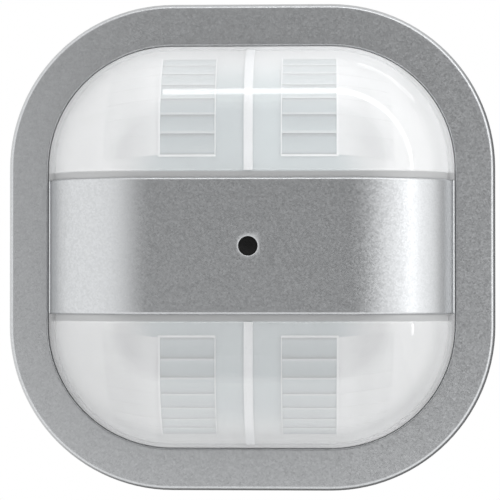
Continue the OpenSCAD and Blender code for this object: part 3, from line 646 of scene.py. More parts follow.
def hole_cutter(top):
    """What the window's hole takes away, with a rounded front edge."""
    hole_r = WINDOW_R + WINDOW_GAP
    mouth_r = hole_r + HOLE_EDGE + HOLE_FLARE
    outline = [(0.0, top + CUT_ABOVE), (mouth_r, top + CUT_ABOVE), (mouth_r, top + HOLE_LIP)]
    outline += [(hole_r + HOLE_BEND, top - HOLE_BEND), (hole_r, top - HOLE_EDGE)]
    outline += [(hole_r, top - CUT_BELOW), (0.0, top - CUT_BELOW)]
    return solid("window_hole", [lathe(outline, HOLE_STEPS)])


carve(silver_band, hole_cutter(band_high[2]))
shade(silver_band.data)
dress(silver_band, "cover", "silver_paint", "centre_band")

# %% [markdown]
# ## The black window
#
# The window is the front of a smoked rod that carries daylight down to a sensor. A lathe makes it in one go:
# a rod with a slightly crowned, polished front, and a collar that seats under the lens.

# %% The black window
WINDOW_CROWN = 0.08
WINDOW_EDGE = 0.04
CROWN_START = 0.1
CROWN_STEPS = 9
WINDOW_STEPS = 48
ROD_CHAMFER = 0.15
COLLAR_T = 1.2
COLLAR_CHAMFER = 0.1
SMOKE_HAZE = 0.6 * MM
SMOKE_DARK = grey(0.004)
SMOKE_PALE = grey(0.008)
SMOKE_IOR = 1.36
SMOKE_ROUGH = 0.19
SMOKE_SWING = 0.03
BAND_T = 1.2
CHANNEL_LIFT = 0.1
LENS_WALL = 1.2
channel_arc = band_arc - BAND_T - CHANNEL_LIFT


def smoked_window():
    material, place = finish("smoked_window", IOR=SMOKE_IOR)
    haze = noise(place, SMOKE_HAZE)
    rough = around(SMOKE_ROUGH, SMOKE_SWING, haze)
    return paint(material, Base_Color=haze.blend(SMOKE_DARK, SMOKE_PALE), Roughness=rough)


def guide_outline():
    collar_r = guide_high[0]
    collar_top = arc_z + channel_arc - LENS_WALL
    collar_low = collar_top - COLLAR_T
    crown = guide_high[2] - WINDOW_CROWN
    low = guide_low[2]
    outline = [(0.0, low), (WINDOW_R - ROD_CHAMFER, low), (WINDOW_R, low + ROD_CHAMFER)]
    outline += [(WINDOW_R, collar_low), (collar_r - COLLAR_CHAMFER, collar_low)]
    outline += [(collar_r, collar_low + COLLAR_CHAMFER), (collar_r, collar_top)]
    outline += [(WINDOW_R, collar_top), (WINDOW_R, crown - CROWN_START)]
    for share in np.linspace(0, 1, CROWN_STEPS):
        rise = WINDOW_CROWN * math.sin(share * math.pi / 2)
        outline.append(((WINDOW_R - WINDOW_EDGE) * (1 - share), crown + rise))
    return outline


window = solid("smoked_light_guide", [lathe(guide_outline(), WINDOW_STEPS)], smoked_window())
dress(window, "cover", "smoked_window", "light_guide")

# %% [markdown]
# ## The lens: a clear skin over milky facets
#
# The real lens is smooth outside and stepped inside, so its highlights run unbroken over facets that seem to
# lie behind glass. Paint alone can't do that. Here a thin see-through skin carries the gloss, and a milky
# core just below it carries the facets as real steps. Both are domes swept round the rounded square, cut
# where the band crosses. Light and shade inside the lens are painted into the core's colour: painted shade
# below the band, over the mechanism and right at the frame, painted light on the right and near the ends.

# %% The skin and the light painted into the lens
SKIN_ALPHA = 0.18
SKIN_IOR = 2.6
SKIN_HAZE = 9 * MM
SKIN_DIM = grey(0.70, -0.006)
SKIN_PALE = grey(0.74)
SKIN_ROUGH = 0.045
SKIN_SWING = 0.01
# Painted shade and painted light in the lens's colour, by where a point lies on the lens
RIM_SHADE = 0.28
RIM_SHADE_W = 1.0
LOWER_SHADE = 0.22
LOWER_GLOW = 0.05
RIGHT_GLOW = 0.11
LEFT_DIM = 0.06
RIM_GLOW = 0.09
UPPER_CUT = 0.8
ABOVE_BAND = (-4, 4)
RIGHT_OF_RIB = (-1, 3)
RIGHT_OF_FACETS = (13, 16)
NEAR_SIDE = (20, 27)
NEAR_END = (24, 31)


def clear_skin():
    material, place = finish("clear_skin", IOR=SKIN_IOR, Alpha=SKIN_ALPHA)
    haze = noise(place, SKIN_HAZE)
    rough = around(SKIN_ROUGH, SKIN_SWING, haze)
    return paint(material, Base_Color=haze.blend(SKIN_DIM, SKIN_PALE), Roughness=rough)


def near_rim(x, z):
    """Rises to 1 where the lens meets the frame, where the painted rim shade goes."""
    across = (abs(x) - corner_axis * MM).math("MAXIMUM", 0.0)
    along = (abs(z) - corner_axis * MM).math("MAXIMUM", 0.0)
    return (across**2 + along**2).math("SQRT").over((opening_r - RIM_SHADE_W, opening_r))


def with_painted_light(place, colour):
    """Painted light in a lens colour: shade below the band, at the rim and left; light right and near the ends.
    """
    x, _, z = place.split()
    above = z.over(ABOVE_BAND)
    below = 1 - above
    right = x.over(RIGHT_OF_RIB) - x.over(NEAR_SIDE)
    low_right = x.over(RIGHT_OF_FACETS) - x.over(NEAR_SIDE)
    level = 1 - LOWER_SHADE * below + RIGHT_GLOW * above * right + LOWER_GLOW * below * low_right
    level = level + RIM_GLOW * (1 - UPPER_CUT * above) * abs(z).over(NEAR_END)
    level = level - RIM_SHADE * near_rim(x, z) - LEFT_DIM * above * (0.0 - x).over(NEAR_SIDE)
    return colour.vector_math("SCALE", Scale=level)


skin_finish = clear_skin()
print("finish:", skin_finish.name)

# %% The milky core's finish
MILK_IOR = 1.45
MILK_SWING = 0.05
MILK_LIGHT = grey(0.625, -0.012)
MILK_PAINTED_SHADE = grey(0.507, -0.030, red=0.94)
GROOVE_PAINTED_SHADE = grey(0.37, -0.010)
MILK_HAZE = 3 * MM
MILK_ROUGH = 0.55
CHANNEL_GROOVE = 1.1
GROOVE_BLUR = 0.15
MECHANISM_SHADE_SIDE = (13, 21)
MECHANISM_SHADE_END = (25, 32)
channel_half = band_half_h + CHANNEL_GROOVE


def milky_core():
    """The core with painted shade over the dark mechanism in the middle and in the groove by the band; paler at
    its rim.
    """
    material, place = finish("milky_core", IOR=MILK_IOR)
    x, _, z = place.split()
    # Painted shade where the dark mechanism lies behind the middle of the lens
    mechanism_shade = (1 - abs(x).over(MECHANISM_SHADE_SIDE)) * (1 - abs(z).over(MECHANISM_SHADE_END))
    tone = with_painted_light(place, mechanism_shade.blend(MILK_LIGHT, MILK_PAINTED_SHADE))
    # Painted shade in the groove beside the band, where the band's edge shades it
    groove_shade = 1 - abs(z).over((channel_half - GROOVE_BLUR, channel_half + GROOVE_BLUR))
    rough = around(MILK_ROUGH, MILK_SWING, noise(place, MILK_HAZE))
    return paint(material, Base_Color=groove_shade.blend(tone, GROOVE_PAINTED_SHADE), Roughness=rough)


core_finish = milky_core()
print("finish:", core_finish.name)

# %% The facets' finishes
# Row tones are painted shading: bright where a row starts by the band, dark at its end. The main facets are
# greyer than the outer ones: painted shade from the dark mechanism behind.
FACET_BRIGHT = grey(0.505, -0.028, red=0.94)
FACET_DARK = grey(0.44, -0.034, red=0.94)
FACET_HAZE = 2 * MM
FACET_ROUGH = 0.45
FACET_FADE = 0.3
FADE_ROWS = (21, 29)
OUTER_BRIGHT = grey(0.585, -0.014)
OUTER_DARK = grey(0.565, -0.016)
OUTER_NEAR = grey(0.67, -0.014)
NEAR_SHARE = (0.05, 0.6)
ROW_HIGHLIGHT = grey(0.64, -0.020)
ROW_SHADE = grey(0.30, -0.030)
ROW_EDGE_SHADING = 0.6
ROW_START = (0.0, 0.2)
ROW_END = (0.75, 1.0)
ROW_RUN = (-0.2, 1.0)
FIRST_ROW_START = (15.4, 16.4)
LINE_TONE = grey(0.74, -0.016)
RIB_TONE = grey(0.72, -0.020)
ARC_SHARE = 0.5
ARC_CENTRE = (0.3, 1.1)
ARC_SQUASH = 7.0
ARC_RATE = 40.0
ARC_EDGE = (0.4, 1.0)
ARC_END = (0.5, 0.9)


def facet_glass(name, bright, dark, row_edge_shading=0.0, near=None, fade=FACET_FADE):
    """Facets: painted shading runs each row from bright at the band to dark at its end; all fade near the rim.
    """
    material, place = finish(name, IOR=MILK_IOR)
    run, side = [
        Wire.node(material.node_tree, "ShaderNodeAttribute", outlet="Fac", attribute_name=label)
        for label in ("facet_run", "facet_side")
    ]
    height = abs(place.split()[2])
    reach = ((side - ARC_CENTRE[0]) ** 2 * ARC_SQUASH + (run - ARC_CENTRE[1]) ** 2) ** 0.5
    arcs = (reach * ARC_RATE).math("SINE").ramp(*ARC_EDGE) * (1 - reach.ramp(*ARC_END))
    tone = (run.ramp(*ROW_RUN) + ARC_SHARE * arcs).blend(bright, dark)
    if near:
        tone = (1 - side.ramp(*NEAR_SHARE)).blend(tone, near)
    if row_edge_shading:
        # Painted highlight where each row starts and painted shade where it ends; the first row starts in
        # painted shade
        start = row_edge_shading * (1 - run.ramp(*ROW_START))
        later = height.over(FIRST_ROW_START)
        tone = (start * later).blend(tone, ROW_HIGHLIGHT)
        tone = (row_edge_shading * run.ramp(*ROW_END) + start * (1 - later)).blend(tone, ROW_SHADE)
    tone = (fade * height.over(FADE_ROWS)).blend(tone, MILK_LIGHT)
    rough = around(FACET_ROUGH, MILK_SWING, noise(place, FACET_HAZE))
    return paint(material, Base_Color=with_painted_light(place, tone), Roughness=rough)


main_facet_finish = facet_glass("main_facets", FACET_BRIGHT, FACET_DARK, row_edge_shading=ROW_EDGE_SHADING)
outer_facet_finish = facet_glass("outer_facets", OUTER_BRIGHT, OUTER_DARK, near=OUTER_NEAR)
rib_finish = facet_glass("lens_rib", RIB_TONE, RIB_TONE, fade=0.0)
line_finish = facet_glass("lens_lines", LINE_TONE, LINE_TONE)
print("lens finishes ready")

# %% Domes
ARC_STEPS = 24
LENS_GAP = 0.5
lens_rise = lens_top - border_h
arc_axis_r = opening_r - LENS_GAP - math.sqrt(LENS_ARC_R**2 - (LENS_ARC_R - lens_rise) ** 2)


def dome_arc(arc_r, low):
    """Half section of a dome, from the top outwards and down to a given height."""
    roll = np.linspace(0, math.acos(np.clip((low - arc_z) / arc_r, -1, 1)), ARC_STEPS)
    return np.column_stack([arc_axis_r + arc_r * np.sin(roll), arc_z + arc_r * np.cos(roll)])


def dome_shell(out_arc, in_arc, low):
    """A closed dome between two arcs."""
    outside = np.vstack([[0.0, arc_z + out_arc], dome_arc(out_arc, low)])
    inside = np.vstack([[0.0, arc_z + in_arc], dome_arc(in_arc, low)])
    points, faces = square_sweep(np.vstack([outside, inside[::-1]]), closed=False)
    corners = range(0, ring_count, CORNER_STEPS + 1)
    last = len(points) - ring_count
    faces += [tuple(corners), tuple(last + k for k in corners)]
    return points, faces


print("dome:", round(lens_rise, 2), "mm over the frame")

# %% The skin in two halves
SKIN_T = 0.35
SKIN_EDGE_R = 0.9 * SKIN_T
SKIN_EDGE_STEPS = 5
BEAD_DROP = 0.18
ON_ARC = 0.05
ROUND = 0.5
flat_half = corner_axis + arc_axis_r


def arch_reach(point):
    """How far a point lies from the arch's rolling axis, or above its level over the flat part."""
    beyond = max(abs(point[0]) - flat_half, 0.0)
    return math.hypot(beyond, point[2] - arc_z)


def round_edges(shape, edges, radius, steps):
    """Rounds some edges of an editable mesh."""
    bmesh.ops.bevel(shape, geom=edges, offset=radius, segments=steps, profile=ROUND, affect="EDGES")


def half_of(part, edge_y, out_arc=None, edge_r=0.0):
    """The part of a dome above a line, closed along the cut and with its outer edge rounded there."""
    shape = shape_of([part])
    geometry = shape.verts[:] + shape.edges[:] + shape.faces[:]
    cut = bmesh.ops.bisect_plane(
        shape, geom=geometry, plane_co=(0, edge_y, 0), plane_no=(0, 1, 0), clear_inner=True
    )
    rim = [e for e in cut["geom_cut"] if isinstance(e, bmesh.types.BMEdge)]
    bmesh.ops.edgeloop_fill(shape, edges=rim)
    if edge_r:
        front = [e for e in rim if e.is_valid and all(arch_reach(v.co) > out_arc - ON_ARC for v in e.verts)]
        round_edges(shape, front, edge_r, SKIN_EDGE_STEPS)
    bmesh.ops.recalc_face_normals(shape, faces=shape.faces)
    shape.verts.index_update()
    points = np.array([v.co[:] for v in shape.verts])
    faces = [tuple(v.index for v in f.verts) for f in shape.faces]
    shape.free()
    return points, faces


def both_halves(part):
    """A part and its image below the band."""
    points, faces = part
    return [part, (points * [1, -1, 1], [face[::-1] for face in faces])]


skin_dome = dome_shell(LENS_ARC_R, LENS_ARC_R - SKIN_T, border_h - BEAD_DROP - BITE)
skin_half = half_of(skin_dome, channel_half, LENS_ARC_R, SKIN_EDGE_R)
lens_skin = solid("lens_skin", both_halves(skin_half), skin_finish)
dress(lens_skin, "cover", "milky_lens", "fresnel_lens")

# %% [markdown]
# ## Facets by Geometry Nodes
#
# Each half of the lens has two main columns of facets and two fainter outer ones. Every row is a fixed share
# of the height of the row before it. That is a rule, so Geometry Nodes lay the rows out flat: points along a
# line, one wedge per point, mirrored to four quarters. Python then wraps the flat sheet over the dome,
# keeping lengths along it.

# %% Trees with named inputs
SOCKET_KINDS = {int: "NodeSocketInt", float: "NodeSocketFloat", tuple: "NodeSocketVector"}


def geometry_tree(name, **inputs):
    """A new Geometry Nodes tree and a wire for each input, given as a default value or a kind of socket."""
    tree = bpy.data.node_groups.new(name, "GeometryNodeTree")
    tree.interface.new_socket("Geometry", in_out="INPUT", socket_type="NodeSocketGeometry")
    tree.interface.new_socket("Geometry", in_out="OUTPUT", socket_type="NodeSocketGeometry")
    for label, value in inputs.items():
        kind = SOCKET_KINDS.get(type(value), value)
        socket = tree.interface.new_socket(label, in_out="INPUT", socket_type=kind)
        if kind != value:
            socket.default_value = value
    entry = Wire.node(tree, "NodeGroupInput").socket.node
    return tree, {label: Wire(entry.outputs[label]) for label in ("Geometry", *inputs)}


def close_tree(tree, shape, material):
    """Ends a tree in Realize Instances and Set Material."""
    real = Wire.node(tree, "GeometryNodeRealizeInstances", {0: shape})
    painted = Wire.node(tree, "GeometryNodeSetMaterial", {"Geometry": real, "Material": material})
    Wire.node(tree, "NodeGroupOutput", {"Geometry": painted})
    return tree


def vector(tree, x, y, z):
    return Wire.node(tree, "ShaderNodeCombineXYZ", {0: x, 1: y, 2: z})


def moved(shape, place):
    """A shape with its points set to a place each."""
    return Wire.node(shape.tree, "GeometryNodeSetPosition", {"Geometry": shape, "Position": place})


def copies(points, instance, **sockets):
    """An instance on every point."""
    sockets = {"Points": points, "Instance": instance, **sockets}
    return Wire.node(points.tree, "GeometryNodeInstanceOnPoints", sockets)


def joined(*shapes):
    return Wire.node(shapes[0].tree, "GeometryNodeJoinGeometry", {0: list(shapes)})


def mirrored(shape, scale):
    """A shape joined with its mirror image, whose faces are turned back outwards."""
    image = Wire.node(shape.tree, "GeometryNodeTransform", {"Geometry": shape, "Scale": scale})
    return joined(shape, Wire.node(shape.tree, "GeometryNodeFlipFaces", {0: image}))


def grow(name, tree, points=(), **inputs):
    """An object made by a Geometry Nodes tree on points in face millimetres, as a plain mesh."""
    mesh = bpy.data.meshes.new(name)
    mesh.from_pydata(to_frame(points).tolist() if len(points) else [], [], [])
    obj = put(name, mesh)
    modifier = obj.modifiers.new("grow", "NODES")
    modifier.node_group = tree
    for item in tree.interface.items_tree:
        if item.in_out == "INPUT" and item.name in inputs:
            modifier[item.identifier] = inputs[item.name]
    return settle(obj)


print("tree helpers ready")

# %% A tree that lays out rows of facets
FIRST_ROW = 14.7
ROW_PITCH = 3.4
ROW_SHRINK = 0.91
ROW_COUNT = 7
PLAIN_HALF = 5.4
MAIN_HALF = 14.2
FACET_H = 0.26
FACET_FALL = 0.85
FACET_BASE = 0.12
WEDGE_GRID = {"Vertices X": 9, "Vertices Y": 6, "Vertices Z": 2}


def facet_wedge(tree, height):
    """A wedge one unit wide and long, high at its start, that stores where each of its points lies."""
    cube = Wire.node(tree, "GeometryNodeMeshCube", {"Size": (1.0, 1.0, 1.0), **WEDGE_GRID})
    x, y, z = Wire.node(tree, "GeometryNodeInputPosition").split()
    fall = 1 - FACET_FALL * (y + 0.5)
    lift = (z > 0.0) * (height * fall + FACET_BASE) - FACET_BASE
    wedge = moved(cube, vector(tree, x + 0.5, y + 0.5, lift))
    side, run, _ = Wire.node(tree, "GeometryNodeInputPosition").split()
    for label, value in (("facet_side", side), ("facet_run", run)):
        sockets = {"Geometry": wedge, "Name": label, "Value": value}
        wedge = Wire.node(
            tree, "GeometryNodeStoreNamedAttribute", sockets, data_type="FLOAT", domain="POINT"
        )
    return wedge


def facet_tree():
    tree, given = geometry_tree(
        "facet rows", Rows=ROW_COUNT, First=FIRST_ROW, Pitch=ROW_PITCH, Shrink=ROW_SHRINK, Column=PLAIN_HALF,
        Width=MAIN_HALF - PLAIN_HALF, Height=FACET_H, Finish="NodeSocketMaterial",
    )
    row = Wire.node(tree, "GeometryNodeInputIndex")
    shrunk = given["Shrink"] ** row
    start = given["First"] + given["Pitch"] * (1 - shrunk) / (1 - given["Shrink"])
    line = Wire.node(tree, "GeometryNodeMeshLine", {"Count": given["Rows"], "Offset": (0.0, 0.0, 0.0)})
    places = moved(line, vector(tree, given["Column"], start, 0.0))
    sizes = vector(tree, given["Width"], given["Pitch"] * shrunk, shrunk**2)
    rows = copies(places, facet_wedge(tree, given["Height"]), Scale=sizes)
    real = Wire.node(tree, "GeometryNodeRealizeInstances", {0: rows})
    quarters = mirrored(mirrored(real, (-1.0, 1.0, 1.0)), (1.0, -1.0, 1.0))
    return close_tree(tree, quarters, given["Finish"])


facets = facet_tree()
print("facet tree:", len(facets.nodes), "nodes")

# %% Wrapping flat sheets over the dome
FACET_CLEARANCE = 0.08
OUTER_HALF = 23.6
OUTER_FACET_H = 0.07
OUTER_SLANT = 0.10
TINY = 1e-9
core_arc = LENS_ARC_R - SKIN_T - FACET_H - FACET_CLEARANCE


def wrap(points, arc_r):
    """Lays flat points (x, distance along the profile, height) over a dome of a given arc."""
    x, run, lift = np.asarray(points, float).T
    side, up = np.sign(x), np.sign(run)
    across = np.maximum(np.abs(x) - corner_axis, 0.0)
    along = np.maximum(np.abs(run) - corner_axis, 0.0)
    reach = np.maximum(np.hypot(across, along), TINY)
    roll = np.maximum(reach - arc_axis_r, 0.0) / LENS_ARC_R
    radius = np.minimum(reach, arc_axis_r) + (arc_r + lift) * np.sin(roll)
    share = radius / reach
    new_x = side * (np.minimum(np.abs(x), corner_axis) + across * share)
    new_y = up * (np.minimum(np.abs(run), corner_axis) + along * share)
    return np.column_stack([new_x, new_y, arc_z + (arc_r + lift) * np.cos(roll)])


def wrap_mesh(obj, slant=0.0):
    """Wraps a flat sheet over the core. Past the main columns its rows lean by a slant."""
    mesh = obj.data
    flat = np.array([v.co[:] for v in mesh.vertices])
    lean = slant * np.maximum(np.abs(flat[:, 0]) - MAIN_HALF, 0.0)
    flat[:, 1] -= np.sign(flat[:, 1]) * lean
    for vertex, place in zip(mesh.vertices, to_frame(wrap(flat, core_arc))):
        vertex.co = place
    shade(mesh)


main_facets = grow("main_facets", facets, Finish=main_facet_finish)
outer_facets = grow(
    "outer_facets", facets, Finish=outer_facet_finish, Column=MAIN_HALF, Width=OUTER_HALF - MAIN_HALF,
    Height=OUTER_FACET_H,
)
wrap_mesh(main_facets)
wrap_mesh(outer_facets, OUTER_SLANT)
for piece in (main_facets, outer_facets):
    dress(piece, "cover", "milky_lens", "fresnel_lens")

# %% The milky core, its channel and its flange
CORE_T = 0.5
CORE_TUCK = 0.3
FLANGE_GAP = 0.05
FLANGE_R = 0.2
FLANGE_IN_R = 0.1
BEAD_GAP = 0.05
BEAD_R = 0.15


def channel_arch():
    """The floor of the channel that the band lies in."""
    outside = dome_arc(channel_arc, lens_low[2])
    inside = dome_arc(channel_arc - LENS_WALL, lens_low[2])
    right = np.vstack([outside, inside[::-1]]) + [corner_axis, 0]
    outline = np.vstack([right, (right * [-1, 1])[::-1]])
    x, z = outline.T
    return loft([np.column_stack([x, np.full(len(x), y), z]) for y in (-channel_half, channel_half)])


def lens_flange():
    """The lens's foot under the border, with a bead that closes the gap to the frame."""
    inside = opening_r - LENS_GAP - LENS_WALL
    bead_r = opening_r - BEAD_GAP
    flange_top = border_under - FLANGE_GAP
    bead_top = border_h - BEAD_DROP
    section = rounded([
        (inside, lens_low[2], FLANGE_IN_R),
        (flange_r, lens_low[2], FLANGE_R),
        (flange_r, flange_top, FLANGE_R),
        (bead_r, flange_top, FLANGE_IN_R),
        (bead_r, bead_top, BEAD_R),
        (inside, bead_top, FLANGE_IN_R),
    ])
    return square_sweep(section, squeeze=opening_squeeze)


core_half = half_of(dome_shell(core_arc, core_arc - CORE_T, border_under), channel_half - CORE_TUCK)
core = solid("milky_core", [*both_halves(core_half), channel_arch(), lens_flange()], core_finish)
dress(core, "cover", "milky_lens", "fresnel_lens")

# %% The rib and the lines between the facets
RIB_W = 1.45
RIB_START = 0.1
RIB_END = 0.3
OUTER_LINE = 0.34
INNER_LINE = 0.14
SILL_INSET = 0.01
STRIP_STEPS = 24
SILL_STEPS = 3
line_start = FIRST_ROW - OUTER_LINE
row_end = FIRST_ROW + ROW_PITCH * (1 - ROW_SHRINK**ROW_COUNT) / (1 - ROW_SHRINK)
rim_run = corner_axis + arc_axis_r + LENS_ARC_R * math.acos((border_h - arc_z) / LENS_ARC_R)


def strips(x_low, x_high, run_low, run_high, height, steps=STRIP_STEPS):
    """A closed strip along the core's profile, above and below the band."""
    corners = [(x_low, -FACET_BASE), (x_high, -FACET_BASE), (x_high, height), (x_low, height)]
    rows = [np.array([(x, run, z) for x, z in corners]) for run in np.linspace(run_low, run_high, steps)]
    points, faces = loft(rows)
    return both_halves((wrap(points, core_arc), faces))


def lens_lines():
    """Beside each main column a line on either side, and a sill where its rows start."""
    made = []
    for side in (-1, 1):
        outer = sorted([side * MAIN_HALF, side * (MAIN_HALF + OUTER_LINE)])
        inner = sorted([side * PLAIN_HALF, side * (PLAIN_HALF - INNER_LINE)])
        sill = sorted([side * (PLAIN_HALF - INNER_LINE / 2), side * (MAIN_HALF + OUTER_LINE / 2)])
        made += strips(*outer, line_start, row_end, FACET_H)
        made += strips(*inner, line_start, row_end, FACET_H)
        made += strips(*sill, line_start + SILL_INSET, FIRST_ROW, FACET_H - SILL_INSET, SILL_STEPS)
    return made


rib_strips = strips(-RIB_W / 2, RIB_W / 2, channel_half + RIB_START, rim_run - RIB_END, FACET_H)
rib = solid("lens_rib", rib_strips, rib_finish)
dress(rib, "cover", "milky_lens", "fresnel_lens")
lines = solid("lens_lines", lens_lines(), line_finish)
dress(lines, "cover", "milky_lens", "fresnel_lens")

# %% [markdown]
# ## Finishes for the mechanism
#
# Behind the cover there are moulded plastics, plated metals and circuit boards. Mouldings have a fine eroded
# grain, galvanised plate has spangles, plated screws are mottled by handling. Each finish is a short function
# of the object's own coordinates, so the pattern sits in the piece and moves with it.

# %% Moulded plastics
PLASTIC_IOR = 1.5
PLASTIC_CLOUD = 5 * MM
PLASTIC_SWING = 0.05
GRAIN = 0.35 * MM
GRAIN_STRENGTH = 0.3
GRAIN_DEPTH = 0.15 * GRAIN
PLASTICS = {
    "grey_plastic": dict(dark=grey(0.085, -0.02), pale=grey(0.105, -0.02), rough=0.5),
    "pale_plastic": dict(dark=grey(0.38, 0.03), pale=grey(0.43, 0.03), rough=0.45),
    "dial_plastic": dict(dark=(0.60, 0.20, 0.03, 1.0), pale=(0.68, 0.24, 0.04, 1.0), rough=0.4),
    "black_plastic": dict(dark=grey(0.012), pale=grey(0.022), rough=0.42),
}


def moulded(name, dark, pale, rough):
    """Moulded plastic: a faint cloud in its colour and a fine grain."""
    material, place = finish(name, IOR=PLASTIC_IOR)
    fine = noise(place, GRAIN)
    sockets = {"Height": fine, "Strength": GRAIN_STRENGTH, "Distance": GRAIN_DEPTH}
    grain = Wire.node(place.tree, "ShaderNodeBump", sockets)
    colour = noise(place, PLASTIC_CLOUD).blend(dark, pale)
    return paint(material, Base_Color=colour, Roughness=around(rough, PLASTIC_SWING, fine), Normal=grain)


finishes = {name: moulded(name, **looks) for name, looks in PLASTICS.items()}
print("plastics:", len(finishes))

# %% Plated metals
METAL_SWING = 0.06
MOTTLE_DETAIL = 4.0
METALS = {
    "plate_steel": dict(
        dark=grey(0.46, -0.01), pale=grey(0.64, -0.01), rough=0.34, size=4.5 * MM, spangled=True
    ),
    "zinc_steel": dict(dark=grey(0.48, 0.01), pale=grey(0.68, 0.02), rough=0.28, size=1.4 * MM),
    "can_metal": dict(dark=grey(0.62, 0.03), pale=grey(0.74, 0.03), rough=0.2, size=2.0 * MM),
    "contact_brass": dict(
        dark=(0.56, 0.38, 0.14, 1.0), pale=(0.70, 0.50, 0.20, 1.0), rough=0.25, size=1.8 * MM
    ),
}


def plated(name, dark, pale, rough, size, spangled=False):
    """Plated metal: mottled by noise, or by flat spangles."""
    material, place = finish(name, Metallic=1.0)
    mottle = cells(place, size).split()[0] if spangled else noise(place, size, MOTTLE_DETAIL)
    return paint(material, Base_Color=mottle.blend(dark, pale), Roughness=around(rough, METAL_SWING, mottle))


finishes.update({name: plated(name, **looks) for name, looks in METALS.items()})
print("plastics and metals:", len(finishes))

# %% Circuit boards, and a finish for every slot
TRACK_WAVE = 7 * MM
TRACK_RATE = 60.0
TRACK_EDGE = (0.35, 0.6)
TRACK_ROUGH = 0.37
BOARD_DARK = (0.010, 0.075, 0.035, 1.0)
BOARD_PALE = (0.030, 0.150, 0.065, 1.0)
PAD_PITCH = 2.6 * MM
PAD_EDGE = (0.18, 0.24)
PAD_TONE = grey(0.55)


def board_green(name):
    """A circuit board: green mask with paler tracks under it and a few tinned pads."""
    material, place = finish(name, IOR=PLASTIC_IOR)
    tracks = (noise(place, TRACK_WAVE, 0.0) * TRACK_RATE).math("SINE").ramp(*TRACK_EDGE)
    pads = 1 - cells(place, PAD_PITCH, "Distance").ramp(*PAD_EDGE)
    colour = pads.blend(tracks.blend(BOARD_DARK, BOARD_PALE), PAD_TONE)
    rough = around(TRACK_ROUGH, PLASTIC_SWING, tracks)
    return paint(material, Base_Color=colour, Metallic=pads, Roughness=rough)


finishes["circuit_board"] = board_green("circuit_board")
finishes["smoked_window"] = window.data.materials[0]
finishes["silver_paint"] = lacquer
finishes["milky_lens"] = core_finish
slot_of = {piece["node"]: piece["material_slot"] for piece in frame["record"]["subparts"]}
print("finishes for", len(set(slot_of.values())), "slots")

# %% [markdown]
# ## Screws by Geometry Nodes
#
# The switch has five kinds of screw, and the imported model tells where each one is. A head is turned on the
# lathe and its cross cut out. A Geometry Nodes tree then winds a ridge round the shank, joins it to the head
# and sets the whole screw on every place.

# %% Where separate solids lie
def islands(node):
    """The boxes of a node's separate solids, in face millimetres."""
    shape = bmesh.new()
    shape.from_mesh(frame["nodes"][node].data)
    bmesh.ops.remove_doubles(shape, verts=shape.verts, dist=MERGE)
    waiting = set(shape.verts)
    boxes = []
    while waiting:
        group, edge = [], [waiting.pop()]
        while edge:
            vertex = edge.pop()
            group.append((vertex.co.x / MM, vertex.co.z / MM, -vertex.co.y / MM))
            near = {e.other_vert(vertex) for e in vertex.link_edges} & waiting
            waiting -= near
            edge.extend(near)
        boxes.append((np.min(group, axis=0), np.max(group, axis=0)))
    shape.free()
    return boxes


def middle(box):
    """The x and y of a box's middle."""
    low, high = box
    return (low[0] + high[0]) / 2, (low[1] + high[1]) / 2


print("housing screws:", len(islands("housing_screws")), "board screws:", len(islands("board_screws")))

# %% A tree that threads and places screws
RIDGE_SIDES = 3
THREAD_STEPS = 24
THREAD_SINK = 0.4


def screw_tree():
    tree, given = geometry_tree(
        "threaded screws", Blank="NodeSocketObject", Radius="NodeSocketFloat", Length="NodeSocketFloat",
        Pitch="NodeSocketFloat", Ridge="NodeSocketFloat", Turn="NodeSocketVector",
        Finish="NodeSocketMaterial",
    )
    length, pitch, ridge = given["Length"], given["Pitch"], given["Ridge"]
    wound = given["Radius"] - ridge
    helix = Wire.node(tree, "GeometryNodeCurveSpiral", {
        "Resolution": THREAD_STEPS, "Rotations": length / pitch, "Start Radius": wound, "End Radius": wound,
        "Height": length,
    })
    helix = Wire.node(tree, "GeometryNodeSetCurveNormal", {"Curve": helix}, mode="Z_UP")
    profile = Wire.node(
        tree, "GeometryNodeCurvePrimitiveCircle", {"Resolution": RIDGE_SIDES, "Radius": ridge}, mode="RADIUS"
    )
    sockets = {"Curve": helix, "Profile Curve": profile, "Fill Caps": True}
    thread = Wire.node(tree, "GeometryNodeCurveToMesh", sockets)
    thread = Wire.node(tree, "GeometryNodeTransform", {
        "Geometry": thread, "Translation": vector(tree, 0.0, length + THREAD_SINK * pitch, 0.0),
        "Rotation": (math.pi / 2, 0.0, 0.0),
    })
    blank = Wire.node(tree, "GeometryNodeObjectInfo", {"Object": given["Blank"]}, outlet="Geometry")
    placed = copies(given["Geometry"], joined(blank, thread), Rotation=given["Turn"])
    return close_tree(tree, placed, given["Finish"])


threads = screw_tree()
print("screw tree:", len(threads.nodes), "nodes")

# %% A turned screw
RIDGE = 0.24
CORE_BITE = 0.8 * RIDGE
TIP_W = 0.3
TIP_H = 0.4
HEAD_CHAMFER = 0.1
HEAD_WALL = 0.45
HEAD_CURVE = 0.7
HEAD_TURNS = np.linspace(0.25, 1, 7) * math.pi / 2
HEAD_STEPS = 32
CROSS_REACH = 0.62
CROSS_W = 0.3
CROSS_DEPTH = 0.5
CROSS_ABOVE = 1.0


